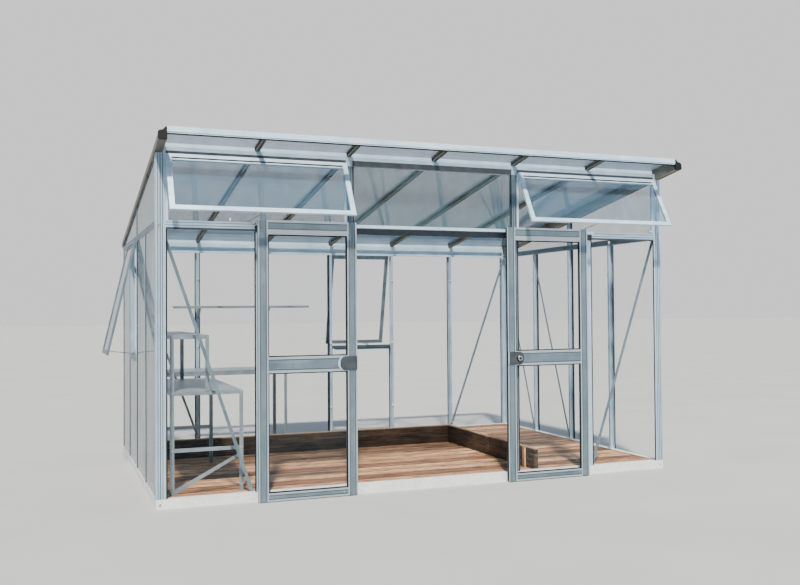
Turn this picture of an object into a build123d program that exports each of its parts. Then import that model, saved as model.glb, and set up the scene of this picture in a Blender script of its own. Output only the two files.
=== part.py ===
from build123d import *
import os
from math import cos, radians, sin, tan

# A free-standing glass greenhouse with one high wall and a single roof slope that falls to the back.
# Aluminium glazing bars stand a bay apart on a galvanised base, and hold panes of glass in their grooves.
# Two glazed doors hang on rollers from a track in front of the high wall, and slide along it.
# Millimetres. X runs along the front, Y from front to back and Z up.
# The origin is at the centre of the ground plan, on the ground, under the middle bearer of the deck.

# Driving dimensions of the whole building.
BAY = 620.0  # from one glazing bar to the next
BAYS_WIDE = 6
BAYS_DEEP = 4
DOOR_BAY = 2  # the bays left of the doorway, and as many right of it
CORNER_MARGIN = 20.0  # from the outer face of a wall to the first line of the bay grid
BASE_HEIGHT = 60.0
RAIL_TOP = 1785.0  # top of the rail that runs round all four walls
RAIL_HEIGHT = 43.0
EAVE_RISE = 38.0  # from the rail's top to the rafters' seat at the back
ROOF_SLOPE = 9.5  # degrees
ROOF_OVERHANG = 245.0  # in front of the high wall
ROOF_TAIL = 22.0  # glass past the back wall, over the gutter
HEAD_HEIGHT = 64.0  # beam at the top of the high wall
HEAD_NOSE_TOP = 12.0  # from the rafters' seat down to the nose along the beam
HEAD_NOSE = 14.0
HEAD_TOP_SETBACK = 8.0
HEAD_LOW_SETBACK = 3.0

# Sheet, glass and clearances.
GLASS = 4.0
SEAT = 0.3  # seat of a pane or a loose piece in what carries it
PANE_SIDE = 1.5  # from a bar's web to the edge of a pane
FRAME_DEPTH = 41.0  # depth of bars, posts and rails, from the outer face inwards
FLANGE = 3.0
WEB = 4.0

# Sections of the frame.
BAR_FACE = 30.0
BAR_INNER = 20.0
CHANNEL_HEIGHT = 9.0  # channel for bolt heads along the inner edge of every bar
CHANNEL_ROOF = 6.5
CHANNEL_LIP = 2.5
CHANNEL_ROOM = 7.0  # half its width inside
CHANNEL_MOUTH = 4.0  # half its width at the mouth
CORNER_LEG = 56.0
CORNER_THICK = 22.0
CORNER_LIP = 5.0
RAIL_WALL = 4.0
EAVE_TOP_LIP = 34.0
EAVE_LOW_LIP = 18.0
BASE_DEPTH = 45.0
BASE_WALL = 3.0
SILL_NOSE = 30.0  # the threshold in front of the wall
SILL_PAST_BAR = 18.0

# Roof, measured square to the slope from the seat of the rafters.
RAFTER_FOOT = 24.0
RAFTER_LEDGE = 24.0  # height of the ledge under the glass
END_BOX = 42.0  # width of the end rafter inside the wall's face
END_PROUD = 9.0
END_DROP = 40.0
END_SHOULDER = 12.0
END_WALL = 3.0
END_SPINE = 12.0  # width of the spine that carries the end rafter's ledge and cap
END_LIP = 12.0  # reach of the ledge and of the cap over the glass
END_GROOVE = 4.0  # depth of the groove along the underside
END_GROOVE_EDGE = 10.0
FASCIA_TOP = 39.0
FASCIA_FRONT_LOW = 4.0
FASCIA_STEP = 4.0
FASCIA_TOP_LIP = 34.0
FASCIA_LOW_LIP = 24.0
FASCIA_LEDGE = 15.0
FASCIA_WALL = 3.0
CAP_THICK = 16.0
CAP_PROUD = 3.0
CAP_CORNER = 9.0
CAP_FIN = 14.0
CLOSER_THICK = 12.0
CLOSER_SETBACK = 16.0

# Gutter behind the low wall.
GUTTER_WIDTH = 72.0
GUTTER_DEPTH = 46.0
GUTTER_WALL = 2.5
GUTTER_CHAMFER = 18.0
GUTTER_BELOW_SEAT = 8.0
GUTTER_END = 1.0  # from the inner side of each end rafter
OUTLET_RADIUS = 21.0
OUTLET_WALL = 2.5
OUTLET_LENGTH = 34.0
OUTLET_FROM_END = 160.0

# Top-hung vents.
VENT_TOP_BAR = 46.0
VENT_SIDE_BAR = 32.0
VENT_LOW_BAR = 30.0
VENT_THICK = 16.0
VENT_LAP = 10.0  # over the beam or rail that carries the hinge
VENT_GROOVE = 5.0
VENT_SEAL_FROM_TOP = 25.0  # black seal in a groove along the top bar
VENT_SEAL_WIDTH = 12.0
VENT_SEAL_THICK = 3.0
HINGE_ABOVE = 6.0  # hinge strip above the hinge line
FRONT_VENT_ANGLE = 29.0
FRONT_VENT_SIDE = 4.0
FRONT_VENT_LOW_LAP = 12.0  # over the rail when the vent is shut
WALL_VENT_ANGLE = 13.0
WALL_VENT_SIDE = 5.0
WALL_VENT_SILL_TOP = 885.0
WALL_VENT_SILL_LAP = 13.0
SILL_HEIGHT = 40.0
STAY_RADIUS = 3.0
STAY_PAD = 14.0
STAY_PAD_THICK = 8.0
STAY_FOOT = 16.0
STAY_INSET = 14.0
STAY_ASIDE = 60.0  # foot of a stay to the left of its tip

# Bracing inside the glass.
BRACE_WIDTH = 22.0
BRACE_THICK = 3.0
BRACE_END = 24.0
BRACE_ASIDE = 36.0  # lower end of a front brace, from its bar towards the corner

# Sliding doors.
LEAF_WIDTH = 660.0
LEAF_DEPTH = 24.0
LEAF_CLEAR = 5.0  # behind a leaf, to the track's lip
LEAF_RISE = 12.0  # top of a leaf above the rail's top
LEAF_GROUND = 5.0
LEAF_WALL = 3.0
LEAF_LAP = 25.0  # a leaf past the doorway's post when it is fully open
RIGHT_STOPPED_SHORT = 70.0  # the right leaf at rest, before it is fully open
CLOSED_GAP = 6.0
MID_RAIL_BOTTOM = 820.0
LEAF_STILE_BANDS = [(10.0, 0.0), (5.0, 2.0), (35.0, 0.8), (5.0, 2.0), (10.0, 0.0)]
HEAD_RAIL_BANDS = [(32.0, 0.0), (5.0, 2.0), (34.0, 0.8), (6.0, 2.0), (14.0, 0.0)]
MID_RAIL_BANDS = [(16.0, 0.0), (6.0, 2.0), (58.0, 1.0), (6.0, 2.0), (16.0, 0.0)]
KICK_RAIL_BANDS = [(12.0, 0.0), (5.0, 2.0), (19.0, 0.8), (5.0, 2.0), (12.0, 0.0)]
CORNER_BANDS = [(11.0, 0.0), (5.0, 2.0), (9.0, 0.0), (6.0, 2.0), (9.0, 0.0), (5.0, 2.0), (11.0, 0.0)]
POST_BANDS = [(9.0, 0.0), (5.0, 2.0), (12.0, 0.0), (5.0, 2.0), (9.0, 0.0)]
RAIL_BANDS = [(11.0, 0.0), (4.0, 1.5), (14.0, 0.0), (4.0, 1.5), (10.0, 0.0)]
LOCK_LENGTH = 105.0
LOCK_HEIGHT = 92.0
LOCK_THICK = 3.0
LOCK_RADIUS = 26.0
KNOB_RADIUS = 12.0
KNOB_LENGTH = 16.0
KNOB_INSET = 88.0

# Door track and the rollers on it.
TRACK_PLATE = 3.0
TRACK_REACH = 36.0
TRACK_LIP = 20.0
TRACK_PAST_BAR = 22.0
STOP_LENGTH = 12.0
STOP_SIDE = 1.0
ROLLER_RADIUS = 10.0
ROLLER_WIDTH = 6.0
ROLLER_FLOOR_GAP = 0.3
AXLE_RADIUS = 3.0
HANGER_PLATE = 3.0
HANGER_WIDTH = 34.0
HANGER_RISE = 6.0  # clear over the track's lip
HANGER_BEHIND_LIP = 7.0
HANGER_ABOVE_FLOOR = 5.0
HANGER_INSET = 90.0

# Deck and the boards that edge the beds on it.
BEARER_HEIGHT = 30.0
BEARER_WIDTH = 60.0
DECK_THICK = 24.0
DECK_SIDE = 0.5
DECK_BOARD = 143.0  # from one board to the next, about
DECK_GAP = 5.0
BED_BOARD = 30.0
BED_HEIGHT = 150.0
BED_RIGHT_X = 790.0
BED_BACK_Y = 310.0

# Staging along the left wall and a bench along the back wall.
ANGLE = 25.0
ANGLE_WALL = 3.0
STAGING_FROM_WALL = 104.0
STAGING_WIDTH = 465.0
STAGING_TOP_WIDTH = 246.0
STAGING_FROM_FRONT = 140.0
STAGING_LENGTH = 1180.0
STAGING_RAIL_TOP = 345.0
STAGING_BRACE = 20.0  # width of the diagonal between the front legs
STAGING_BRACE_RISE = 255.0
STAGING_MIDDLE_TOP = 705.0
STAGING_TOP = 1065.0
SHELF_THICK = 3.0
BENCH_FROM_WALL = 90.0
BENCH_LENGTH = 1240.0
BENCH_DEPTH = 440.0
BENCH_TOP = 712.0
BENCH_RAIL = 38.0
SHELF_Z = 1265.0
SHELF_DEPTH = 160.0
SHELF_START = 400.0
SHELF_LENGTH = 1220.0
SHELF_LIP = 22.0
BRACKET_DROP = 110.0
BRACKET_WIDTH = 20.0

# Sizes that follow from the driving dimensions.
LENGTH = BAYS_WIDE * BAY + 2 * CORNER_MARGIN
DEPTH = BAYS_DEEP * BAY + 2 * CORNER_MARGIN
LEFT = -LENGTH / 2
RIGHT = LENGTH / 2
FRONT = -DEPTH / 2
BACK = DEPTH / 2
SLOPE = radians(ROOF_SLOPE)
RAIL_BOTTOM = RAIL_TOP - RAIL_HEIGHT
EAVE_SEAT = RAIL_TOP + EAVE_RISE
HEAD_SEAT = EAVE_SEAT + DEPTH * tan(SLOPE)
HEAD_BOTTOM = HEAD_SEAT - HEAD_HEIGHT
CORNER_REACH = CORNER_LEG + CORNER_LIP
DECK_TOP = BEARER_HEIGHT + DECK_THICK
PANE_FRONT = FLANGE + SEAT
LEAF_TOP = RAIL_TOP + LEAF_RISE
TRACK_FLOOR = RAIL_TOP - TRACK_LIP + TRACK_PLATE
LEAF_BACK = TRACK_REACH + LEAF_CLEAR
DOOR_POST_LINES = (DOOR_BAY, BAYS_WIDE - DOOR_BAY)
SIDE_LINES = (DOOR_BAY - 1, BAYS_WIDE - DOOR_BAY + 1)

NODES = {}


def keep(name, *shapes):
    """Adds solids to the node of this name."""
    NODES.setdefault(name, []).extend(solid for shape in shapes for solid in shape.solids())


def bay_x(line):
    """X of a line of the bay grid, counted from the left end."""
    return LEFT + CORNER_MARGIN + line * BAY


def along(line):
    """Distance of a line of the bay grid from the corner where its wall starts."""
    return CORNER_MARGIN + line * BAY


def seat_at(y):
    """Height of the rafters' seat at this distance behind the front face."""
    return HEAD_SEAT - y * tan(SLOPE)


def block(x0, x1, y0, y1, z0, z1):
    """A box between two corners."""
    low_corner = (Align.MIN, Align.MIN, Align.MIN)
    return Pos(x0, y0, z0) * Box(x1 - x0, y1 - y0, z1 - z0, align=low_corner)


def rod(start, end, radius):
    """A round rod between two points."""
    way = Vector(*end) - Vector(*start)
    bottom = (Align.CENTER, Align.CENTER, Align.MIN)
    return Plane(origin=start, z_dir=way) * Cylinder(radius, way.length, align=bottom)


def upright(points, z0, z1):
    """A section drawn in X and Y, raised from z0 to z1."""
    return Pos(0, 0, z0) * extrude(Polygon(*points, align=None), amount=z1 - z0, dir=(0, 0, 1))


def lengthwise(points, x0, x1, hollow=None):
    """A section drawn in Y and Z, run along X, with an optional hollow."""
    section = Plane.YZ * Polygon(*points, align=None)
    if hollow:
        section -= Plane.YZ * Polygon(*hollow, align=None)
    return Pos(x0, 0, 0) * extrude(section, amount=x1 - x0, dir=(1, 0, 0))


def crosswise(points, y0, y1, hollow=None):
    """A section drawn in X and Z, run along Y, with an optional hollow."""
    section = Plane.XZ * Polygon(*points, align=None)
    if hollow:
        section -= Plane.XZ * Polygon(*hollow, align=None)
    return Pos(0, y0, 0) * extrude(section, amount=y1 - y0, dir=(0, 1, 0))


# Each wall is drawn as the front wall is: along X from its left end, inwards along Y, up along Z.
WALLS = {
    "front": Pos(LEFT, FRONT, 0),
    "right": Pos(RIGHT, FRONT, 0) * Rot(0, 0, 90),
    "back": Pos(RIGHT, BACK, 0) * Rot(0, 0, 180),
    "left": Pos(LEFT, BACK, 0) * Rot(0, 0, -90),
}
ROOF = Pos(0, FRONT, HEAD_SEAT) * Rot(-ROOF_SLOPE, 0, 0)
ROOF_START = -ROOF_OVERHANG / cos(SLOPE)
ROOF_END = (DEPTH + ROOF_TAIL) / cos(SLOPE)


def banded_edge(bands, start):
    """Points along the face of an extrusion: bands of a given width, each set back by its own depth."""
    points = []
    place = start
    for width, setback in bands:
        points.append((place, setback))
        place += width
        points.append((place, setback))
    return points


def band_total(bands):
    return sum(width for width, setback in bands)


def channel(bottom, top, wall, depth=FRAME_DEPTH, face=0.0):
    """A channel open to the inside, as points in depth and height."""
    return [
        (face, bottom), (depth, bottom), (depth, bottom + wall), (face + wall, bottom + wall),
        (face + wall, top - wall), (depth, top - wall), (depth, top), (face, top),
    ]


def banded_channel(bands, bottom, wall, depth):
    """A channel open to the inside whose face has grooves along it."""
    face = [(setback, height) for height, setback in banded_edge(bands, bottom)]
    top = bottom + band_total(bands)
    inside = [
        (depth, top), (depth, top - wall), (wall, top - wall),
        (wall, bottom + wall), (depth, bottom + wall), (depth, bottom),
    ]
    return face + inside


def mirrored(half):
    """Both halves of a section that is even about X = 0."""
    return half + [(-x, y) for x, y in reversed(half)]


BAR_HALF = [
    (BAR_FACE / 2, 0), (BAR_FACE / 2, FLANGE), (WEB / 2, FLANGE), (WEB / 2, FRAME_DEPTH - CHANNEL_HEIGHT),
    (BAR_INNER / 2, FRAME_DEPTH - CHANNEL_HEIGHT), (BAR_INNER / 2, FRAME_DEPTH), (CHANNEL_MOUTH, FRAME_DEPTH),
    (CHANNEL_MOUTH, FRAME_DEPTH - CHANNEL_LIP), (CHANNEL_ROOM, FRAME_DEPTH - CHANNEL_LIP),
    (CHANNEL_ROOM, FRAME_DEPTH - CHANNEL_ROOF),
]


def glazing_bar(at, z0, z1):
    """A wall bar: a wide outer flange that holds the glass in, a web and a channel for bolt heads inside."""
    return Pos(at, 0, 0) * upright(mirrored(BAR_HALF), z0, z1)


def pane(u0, u1, z0, z1):
    """A pane behind the outer flanges, between two edges that carry it."""
    return block(u0, u1, PANE_FRONT, PANE_FRONT + GLASS, z0 + SEAT, z1 - SEAT)


def bay_edges(line, lines, edge=WEB / 2 + PANE_SIDE, corner=CORNER_LEG + PANE_SIDE):
    """Where a pane starts and ends in the bay after this line, in a wall with this many bays."""
    start = corner if line == 0 else along(line) + edge
    end = along(lines) + CORNER_MARGIN - corner if line == lines - 1 else along(line + 1) - edge
    return start, end


def closed_run(section, x0, x1, face, closed):
    """A run of the base, with a plate across each end that can be seen."""
    run = lengthwise(section, x0, x1)
    for at in closed:
        run += block(at, at + BASE_WALL, face, BASE_DEPTH, 0, BASE_HEIGHT)
    return run


def make_base():
    """A channel open to the inside runs round the building, with a wider one as the threshold."""
    section = channel(0, BASE_HEIGHT, BASE_WALL, BASE_DEPTH)
    front_run = along(SIDE_LINES[0]) + SILL_PAST_BAR
    last = LENGTH - BASE_WALL
    keep("base_front", WALLS["front"] * closed_run(section, 0, front_run, 0, [0]))
    keep("base_front", WALLS["front"] * closed_run(section, LENGTH - front_run, LENGTH, 0, [last]))
    keep("base_back", WALLS["back"] * closed_run(section, 0, LENGTH, 0, [0, last]))
    for side in ("left", "right"):
        keep("base_sides", WALLS[side] * lengthwise(section, BASE_DEPTH, DEPTH - BASE_DEPTH))
    sill = [
        (-SILL_NOSE, 0), (BASE_DEPTH, 0), (BASE_DEPTH, BASE_WALL), (BASE_WALL - SILL_NOSE, BASE_WALL),
        (BASE_WALL - SILL_NOSE, BASE_HEIGHT - BASE_WALL), (BASE_DEPTH, BASE_HEIGHT - BASE_WALL),
        (BASE_DEPTH, BASE_HEIGHT), (-SILL_NOSE, BASE_HEIGHT),
    ]
    ends = [front_run, LENGTH - front_run - BASE_WALL]
    keep("door_threshold", WALLS["front"] * closed_run(sill, front_run, LENGTH - front_run, -SILL_NOSE, ends))


def corner_section():
    """An angle with grooved outer faces and a thin lip at each end that holds the wall's glass."""
    front_face = banded_edge(CORNER_BANDS, 0)
    side_face = [(setback, place) for place, setback in reversed(front_face)]
    front_face[-1] = (CORNER_REACH, 0)
    side_face[0] = (0, CORNER_REACH)
    inside = [
        (CORNER_REACH, FLANGE), (CORNER_LEG, FLANGE), (CORNER_LEG, CORNER_THICK),
        (CORNER_THICK, CORNER_THICK), (CORNER_THICK, CORNER_LEG), (FLANGE, CORNER_LEG), (FLANGE, CORNER_REACH),
    ]
    return front_face + inside + side_face[:-1]


def roof_space(x0, x1, above):
    """Everything over a plane that lies this far above the rafters' seat."""
    return ROOF * block(x0, x1, ROOF_START, ROOF_END, above, HEAD_SEAT)


def make_corner_posts():
    """The end rafter beds on each corner post, so the post is cut to the roof's slope."""
    top = HEAD_SEAT + CORNER_LEG
    for name in WALLS:
        post = WALLS[name] * upright(corner_section(), BASE_HEIGHT, top)
        post -= roof_space(LEFT - CORNER_REACH, RIGHT + CORNER_REACH, 0)
        post -= roof_space(LEFT - CORNER_REACH, LEFT + END_BOX, -END_DROP)
        post -= roof_space(RIGHT - END_BOX, RIGHT + CORNER_REACH, -END_DROP)
        keep("corner_posts", post)


def make_front_wall():
    wall = WALLS["front"]
    span = LENGTH - CORNER_REACH
    face = band_total(POST_BANDS)
    outline = banded_edge(POST_BANDS, -face / 2) + [(face / 2, FRAME_DEPTH), (-face / 2, FRAME_DEPTH)]
    for line in DOOR_POST_LINES:
        keep("door_posts", wall * Pos(along(line), 0, 0) * upright(outline, BASE_HEIGHT, HEAD_BOTTOM))
    for line in SIDE_LINES:
        keep("front_bars", wall * glazing_bar(along(line), BASE_HEIGHT, RAIL_BOTTOM))

    rail = banded_channel(RAIL_BANDS, RAIL_BOTTOM, RAIL_WALL, FRAME_DEPTH)
    posts = [along(line) for line in DOOR_POST_LINES]
    starts = [CORNER_REACH] + [post + face / 2 for post in posts]
    ends = [post - face / 2 for post in posts] + [span]
    for start, end in zip(starts, ends):
        keep("front_rail", wall * lengthwise(rail, start, end))

    nose_top = HEAD_SEAT - HEAD_NOSE_TOP
    low_web = HEAD_LOW_SETBACK + FLANGE
    top_web = HEAD_TOP_SETBACK + FLANGE
    beam = [
        (HEAD_LOW_SETBACK, HEAD_BOTTOM), (FRAME_DEPTH, HEAD_BOTTOM), (FRAME_DEPTH, HEAD_BOTTOM + FLANGE),
        (low_web, HEAD_BOTTOM + FLANGE), (low_web, nose_top - FLANGE), (top_web, nose_top - FLANGE),
        (top_web, seat_at(top_web) - FLANGE), (FRAME_DEPTH, seat_at(FRAME_DEPTH) - FLANGE),
        (FRAME_DEPTH, seat_at(FRAME_DEPTH)), (HEAD_TOP_SETBACK, seat_at(HEAD_TOP_SETBACK)),
        (HEAD_TOP_SETBACK, nose_top), (0, nose_top), (0, nose_top - HEAD_NOSE),
        (HEAD_LOW_SETBACK, nose_top - HEAD_NOSE),
    ]
    keep("head_beam", wall * lengthwise(beam, CORNER_REACH, span))

    for bay in list(range(DOOR_BAY)) + list(range(BAYS_WIDE - DOOR_BAY, BAYS_WIDE)):
        start, end = bay_edges(bay, BAYS_WIDE)
        if bay == DOOR_BAY - 1:
            end = posts[0] - face / 2 - SEAT
        if bay == BAYS_WIDE - DOOR_BAY:
            start = posts[1] + face / 2 + SEAT
        keep("front_glass", wall * pane(start, end, BASE_HEIGHT, RAIL_BOTTOM))
    start = posts[0] + face / 2 + SEAT
    end = posts[1] - face / 2 - SEAT
    keep("clerestory_glass", wall * pane(start, end, RAIL_TOP, HEAD_BOTTOM))


def make_track():
    """A ledge with an upturned lip in front of the rail. The rollers run on the ledge behind the lip."""
    ledge = TRACK_FLOOR - TRACK_PLATE
    lip = TRACK_PLATE - TRACK_REACH
    section = [
        (0, RAIL_BOTTOM), (0, TRACK_FLOOR), (lip, TRACK_FLOOR), (lip, RAIL_TOP),
        (-TRACK_REACH, RAIL_TOP), (-TRACK_REACH, ledge), (-TRACK_PLATE, ledge), (-TRACK_PLATE, RAIL_BOTTOM),
    ]
    start = along(SIDE_LINES[0]) - TRACK_PAST_BAR
    end = along(SIDE_LINES[1]) + TRACK_PAST_BAR
    keep("door_track", WALLS["front"] * lengthwise(section, start, end))
    for at in (start, end - STOP_LENGTH):
        stop = block(at, at + STOP_LENGTH, lip + STOP_SIDE, -STOP_SIDE, TRACK_FLOOR, RAIL_TOP)
        keep("track_stops", WALLS["front"] * stop)


def wall_vent_bay(wall, line, lines, name):
    """A bay with a top-hung vent over a fixed pane."""
    left, right = along(line), along(line + 1)
    sill_bottom = WALL_VENT_SILL_TOP - SILL_HEIGHT
    start, end = bay_edges(line, lines)
    sill = channel(sill_bottom, WALL_VENT_SILL_TOP, FLANGE)
    keep("vent_sills", wall * lengthwise(sill, left + BAR_FACE / 2, right - BAR_FACE / 2))
    low = pane(start, end, BASE_HEIGHT, sill_bottom)
    hinge = RAIL_BOTTOM + VENT_LAP
    height = hinge - WALL_VENT_SILL_TOP + WALL_VENT_SILL_LAP
    u0 = left + BAR_FACE / 2 + WALL_VENT_SIDE
    u1 = right - BAR_FACE / 2 - WALL_VENT_SIDE
    add_vent(wall, u0, u1, hinge, height, WALL_VENT_ANGLE, "wall_vents", "wall_vent_glass")
    add_stay(wall, (u0 + u1) / 2, hinge, height, WALL_VENT_ANGLE, WALL_VENT_SILL_TOP)
    keep(name, wall * low)


def add_vent(wall, u0, u1, hinge, height, angle, frame_node, glass_node):
    """A glazed frame that hangs from its top edge and stands open by an angle, with a seal in its top bar."""
    width = u1 - u0
    left, right = VENT_SIDE_BAR, width - VENT_SIDE_BAR
    low, high = VENT_LOW_BAR - height, -VENT_TOP_BAR
    middle = -VENT_THICK / 2
    frame = block(0, width, -VENT_THICK, 0, -height, 0)
    frame -= block(left, right, -VENT_THICK, 0, low, high)
    grip = VENT_GROOVE + SEAT
    slot = GLASS / 2 + SEAT
    frame -= block(left - grip, right + grip, middle - slot, middle + slot, low - grip, high + grip)
    seal_top = -VENT_SEAL_FROM_TOP
    seal_low = seal_top - VENT_SEAL_WIDTH
    seal_back = VENT_SEAL_THICK - VENT_THICK
    frame -= block(left, right, -VENT_THICK, seal_back, seal_low, seal_top)
    glass = block(
        left - VENT_GROOVE, right + VENT_GROOVE, middle - GLASS / 2, middle + GLASS / 2,
        low - VENT_GROOVE, high + VENT_GROOVE,
    )
    seal = block(left + SEAT, right - SEAT, -VENT_THICK, seal_back - SEAT, seal_low + SEAT, seal_top - SEAT)
    swing = wall * Pos(u0, -SEAT, hinge) * Rot(-angle, 0, 0)
    keep(frame_node, swing * frame)
    keep(glass_node, swing * glass)
    keep("vent_seals", swing * seal)


def add_stay(wall, at, hinge, height, angle, sill):
    """A round stay from a foot on the sill to a pad on the inner face of the vent's bottom bar."""
    half = STAY_PAD / 2
    pad = block(-half, half, 0, STAY_PAD_THICK, -height + VENT_LOW_BAR - STAY_PAD, -height + VENT_LOW_BAR)
    stay = Pos(at, 0, hinge) * Rot(-angle, 0, 0) * pad
    reach = height - VENT_LOW_BAR + half
    inside = STAY_PAD_THICK / 2
    tip_y = inside * cos(radians(angle)) - reach * sin(radians(angle))
    tip_z = hinge - inside * sin(radians(angle)) - reach * cos(radians(angle))
    foot_x = at - STAY_ASIDE
    stay += block(foot_x - half, foot_x + half, STAY_INSET - half, STAY_INSET + half, sill, sill + STAY_FOOT)
    stay += rod((foot_x, STAY_INSET, sill + STAY_FOOT / 2), (at, tip_y, tip_z), STAY_RADIUS)
    keep("vent_stays", wall * stay)


def make_front_vents():
    wall = WALLS["front"]
    hinge = HEAD_BOTTOM + VENT_LAP
    height = hinge - RAIL_TOP + FRONT_VENT_LOW_LAP
    outer = CORNER_LEG + FRONT_VENT_SIDE
    inner = along(DOOR_BAY) - band_total(POST_BANDS) / 2 - FRONT_VENT_SIDE
    for start, end in ((outer, inner), (LENGTH - inner, LENGTH - outer)):
        add_vent(wall, start, end, hinge, height, FRONT_VENT_ANGLE, "front_vents", "front_vent_glass")
        add_stay(wall, (start + end) / 2, hinge, height, FRONT_VENT_ANGLE, RAIL_TOP)
        strip = block(max(start, CORNER_REACH), min(end, LENGTH - CORNER_REACH), 0, HEAD_LOW_SETBACK,
                      HEAD_BOTTOM, hinge + HINGE_ABOVE)
        keep("vent_hinges", wall * strip)


def make_wall(name, lines, glass_node, bar_node, rail_bottom, vent_line):
    """A plain wall of bars and panes, with a vent in one bay if it has one."""
    wall = WALLS[name]
    for line in range(1, lines):
        keep(bar_node, wall * glazing_bar(along(line), BASE_HEIGHT, rail_bottom))
    for line in range(lines):
        if line == vent_line:
            wall_vent_bay(wall, line, lines, glass_node)
        else:
            keep(glass_node, wall * pane(*bay_edges(line, lines), BASE_HEIGHT, rail_bottom))


def make_side_rails():
    section = banded_channel(RAIL_BANDS, RAIL_BOTTOM, RAIL_WALL, FRAME_DEPTH)
    for side in ("left", "right"):
        keep("side_rails", WALLS[side] * lengthwise(section, CORNER_REACH, DEPTH - CORNER_REACH))


def make_eave():
    """The beam along the top of the low wall, cut to the slope, and the gutter behind it."""
    face = seat_at(DEPTH)
    inner = seat_at(DEPTH - FRAME_DEPTH)
    web = seat_at(DEPTH - FLANGE)
    lip = FRAME_DEPTH - FLANGE
    beam = [
        (0, RAIL_BOTTOM), (FRAME_DEPTH, RAIL_BOTTOM), (FRAME_DEPTH, RAIL_BOTTOM + EAVE_LOW_LIP),
        (lip, RAIL_BOTTOM + EAVE_LOW_LIP), (lip, RAIL_BOTTOM + FLANGE), (FLANGE, RAIL_BOTTOM + FLANGE),
        (FLANGE, web - FLANGE), (lip, seat_at(DEPTH - lip) - FLANGE), (lip, inner - EAVE_TOP_LIP),
        (FRAME_DEPTH, inner - EAVE_TOP_LIP), (FRAME_DEPTH, inner), (0, face),
    ]
    keep("eave_beam", WALLS["back"] * lengthwise(beam, CORNER_REACH, LENGTH - CORNER_REACH))

    top = face - GUTTER_BELOW_SEAT
    low = top - GUTTER_DEPTH
    edge = GUTTER_WIDTH
    flat = GUTTER_WIDTH - GUTTER_CHAMFER
    outline = [(0, top), (0, low), (-flat, low), (-edge, low + GUTTER_CHAMFER), (-edge, top)]
    wall = GUTTER_WALL
    inside = [
        (wall - edge, top), (wall - edge, low + GUTTER_CHAMFER + wall / 2), (wall / 2 - flat, low + wall),
        (-wall, low + wall), (-wall, top),
    ]
    start = END_BOX + GUTTER_END
    end = LENGTH - start
    gutter = lengthwise(outline + inside, start, end)
    gutter += lengthwise(outline, start, start + wall)
    gutter += lengthwise(outline, end - wall, end)
    spout = (end - OUTLET_FROM_END, -flat / 2, low)
    spout_end = (end - OUTLET_FROM_END, -flat / 2, low - OUTLET_LENGTH)
    inlet = (end - OUTLET_FROM_END, -flat / 2, low + wall)
    gutter += rod(spout, spout_end, OUTLET_RADIUS)
    gutter -= rod(inlet, spout_end, OUTLET_RADIUS - OUTLET_WALL)
    keep("gutter", WALLS["back"] * gutter)


GLASS_LOW = RAFTER_LEDGE + FLANGE + SEAT
GLASS_HIGH = GLASS_LOW + GLASS
CAP_LOW = GLASS_HIGH + SEAT
CAP_HIGH = CAP_LOW + FLANGE
RAFTER_HALF = [
    (CHANNEL_ROOM, CHANNEL_ROOF), (CHANNEL_ROOM, CHANNEL_LIP), (CHANNEL_MOUTH, CHANNEL_LIP),
    (CHANNEL_MOUTH, 0), (RAFTER_FOOT / 2, 0), (RAFTER_FOOT / 2, CHANNEL_HEIGHT),
    (WEB / 2, CHANNEL_HEIGHT), (WEB / 2, RAFTER_LEDGE),
    (BAR_FACE / 2, RAFTER_LEDGE), (BAR_FACE / 2, RAFTER_LEDGE + FLANGE), (WEB / 2, RAFTER_LEDGE + FLANGE),
    (WEB / 2, CAP_LOW), (BAR_FACE / 2, CAP_LOW), (BAR_FACE / 2, CAP_HIGH),
]
END_LEDGE = END_BOX + END_LIP


def end_rafter_section():
    """A hollow box outside the wall's face line, with a shoulder and the ledge and cap that hold the glass."""
    spine = END_BOX - END_SPINE
    groove = END_GROOVE - END_DROP
    outer_edge = END_GROOVE_EDGE - END_PROUD
    inner_edge = END_BOX - END_GROOVE_EDGE
    return [
        (-END_PROUD, -END_DROP), (outer_edge, -END_DROP), (outer_edge, groove),
        (inner_edge, groove), (inner_edge, -END_DROP), (END_BOX, -END_DROP),
        (END_BOX, RAFTER_LEDGE), (END_LEDGE, RAFTER_LEDGE), (END_LEDGE, RAFTER_LEDGE + FLANGE),
        (END_BOX, RAFTER_LEDGE + FLANGE), (END_BOX, CAP_LOW), (END_LEDGE, CAP_LOW), (END_LEDGE, CAP_HIGH),
        (spine, CAP_HIGH), (spine, END_SHOULDER), (-END_PROUD, 0),
    ]


def end_rafter_hollow():
    inside = END_BOX - END_WALL
    low = END_GROOVE + END_WALL - END_DROP
    return [
        (END_WALL - END_PROUD, low), (inside, low), (inside, END_SHOULDER - END_WALL),
        (END_WALL - END_PROUD, -END_WALL),
    ]


def end_cap_outline():
    """The plastic cap stands a little proud of the end rafter's box, with cut corners and a fin on top."""
    spine = END_BOX - END_SPINE
    left = -END_PROUD - CAP_PROUD
    low = -END_DROP - CAP_PROUD
    high = END_SHOULDER + CAP_PROUD
    return [
        (left, low + CAP_CORNER), (left + CAP_CORNER, low), (END_BOX, low), (END_BOX, CAP_HIGH),
        (spine + CAP_PROUD, CAP_HIGH), (spine - CAP_FIN, high), (left + CAP_CORNER, high - CAP_PROUD),
        (left, high - CAP_PROUD - CAP_CORNER),
    ]


def at_end(points, side):
    """A section measured inwards from an end wall's face, on the left or the right end."""
    if side == "left":
        return [(LEFT + x, y) for x, y in points]
    return [(RIGHT - x, y) for x, y in points]


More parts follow.
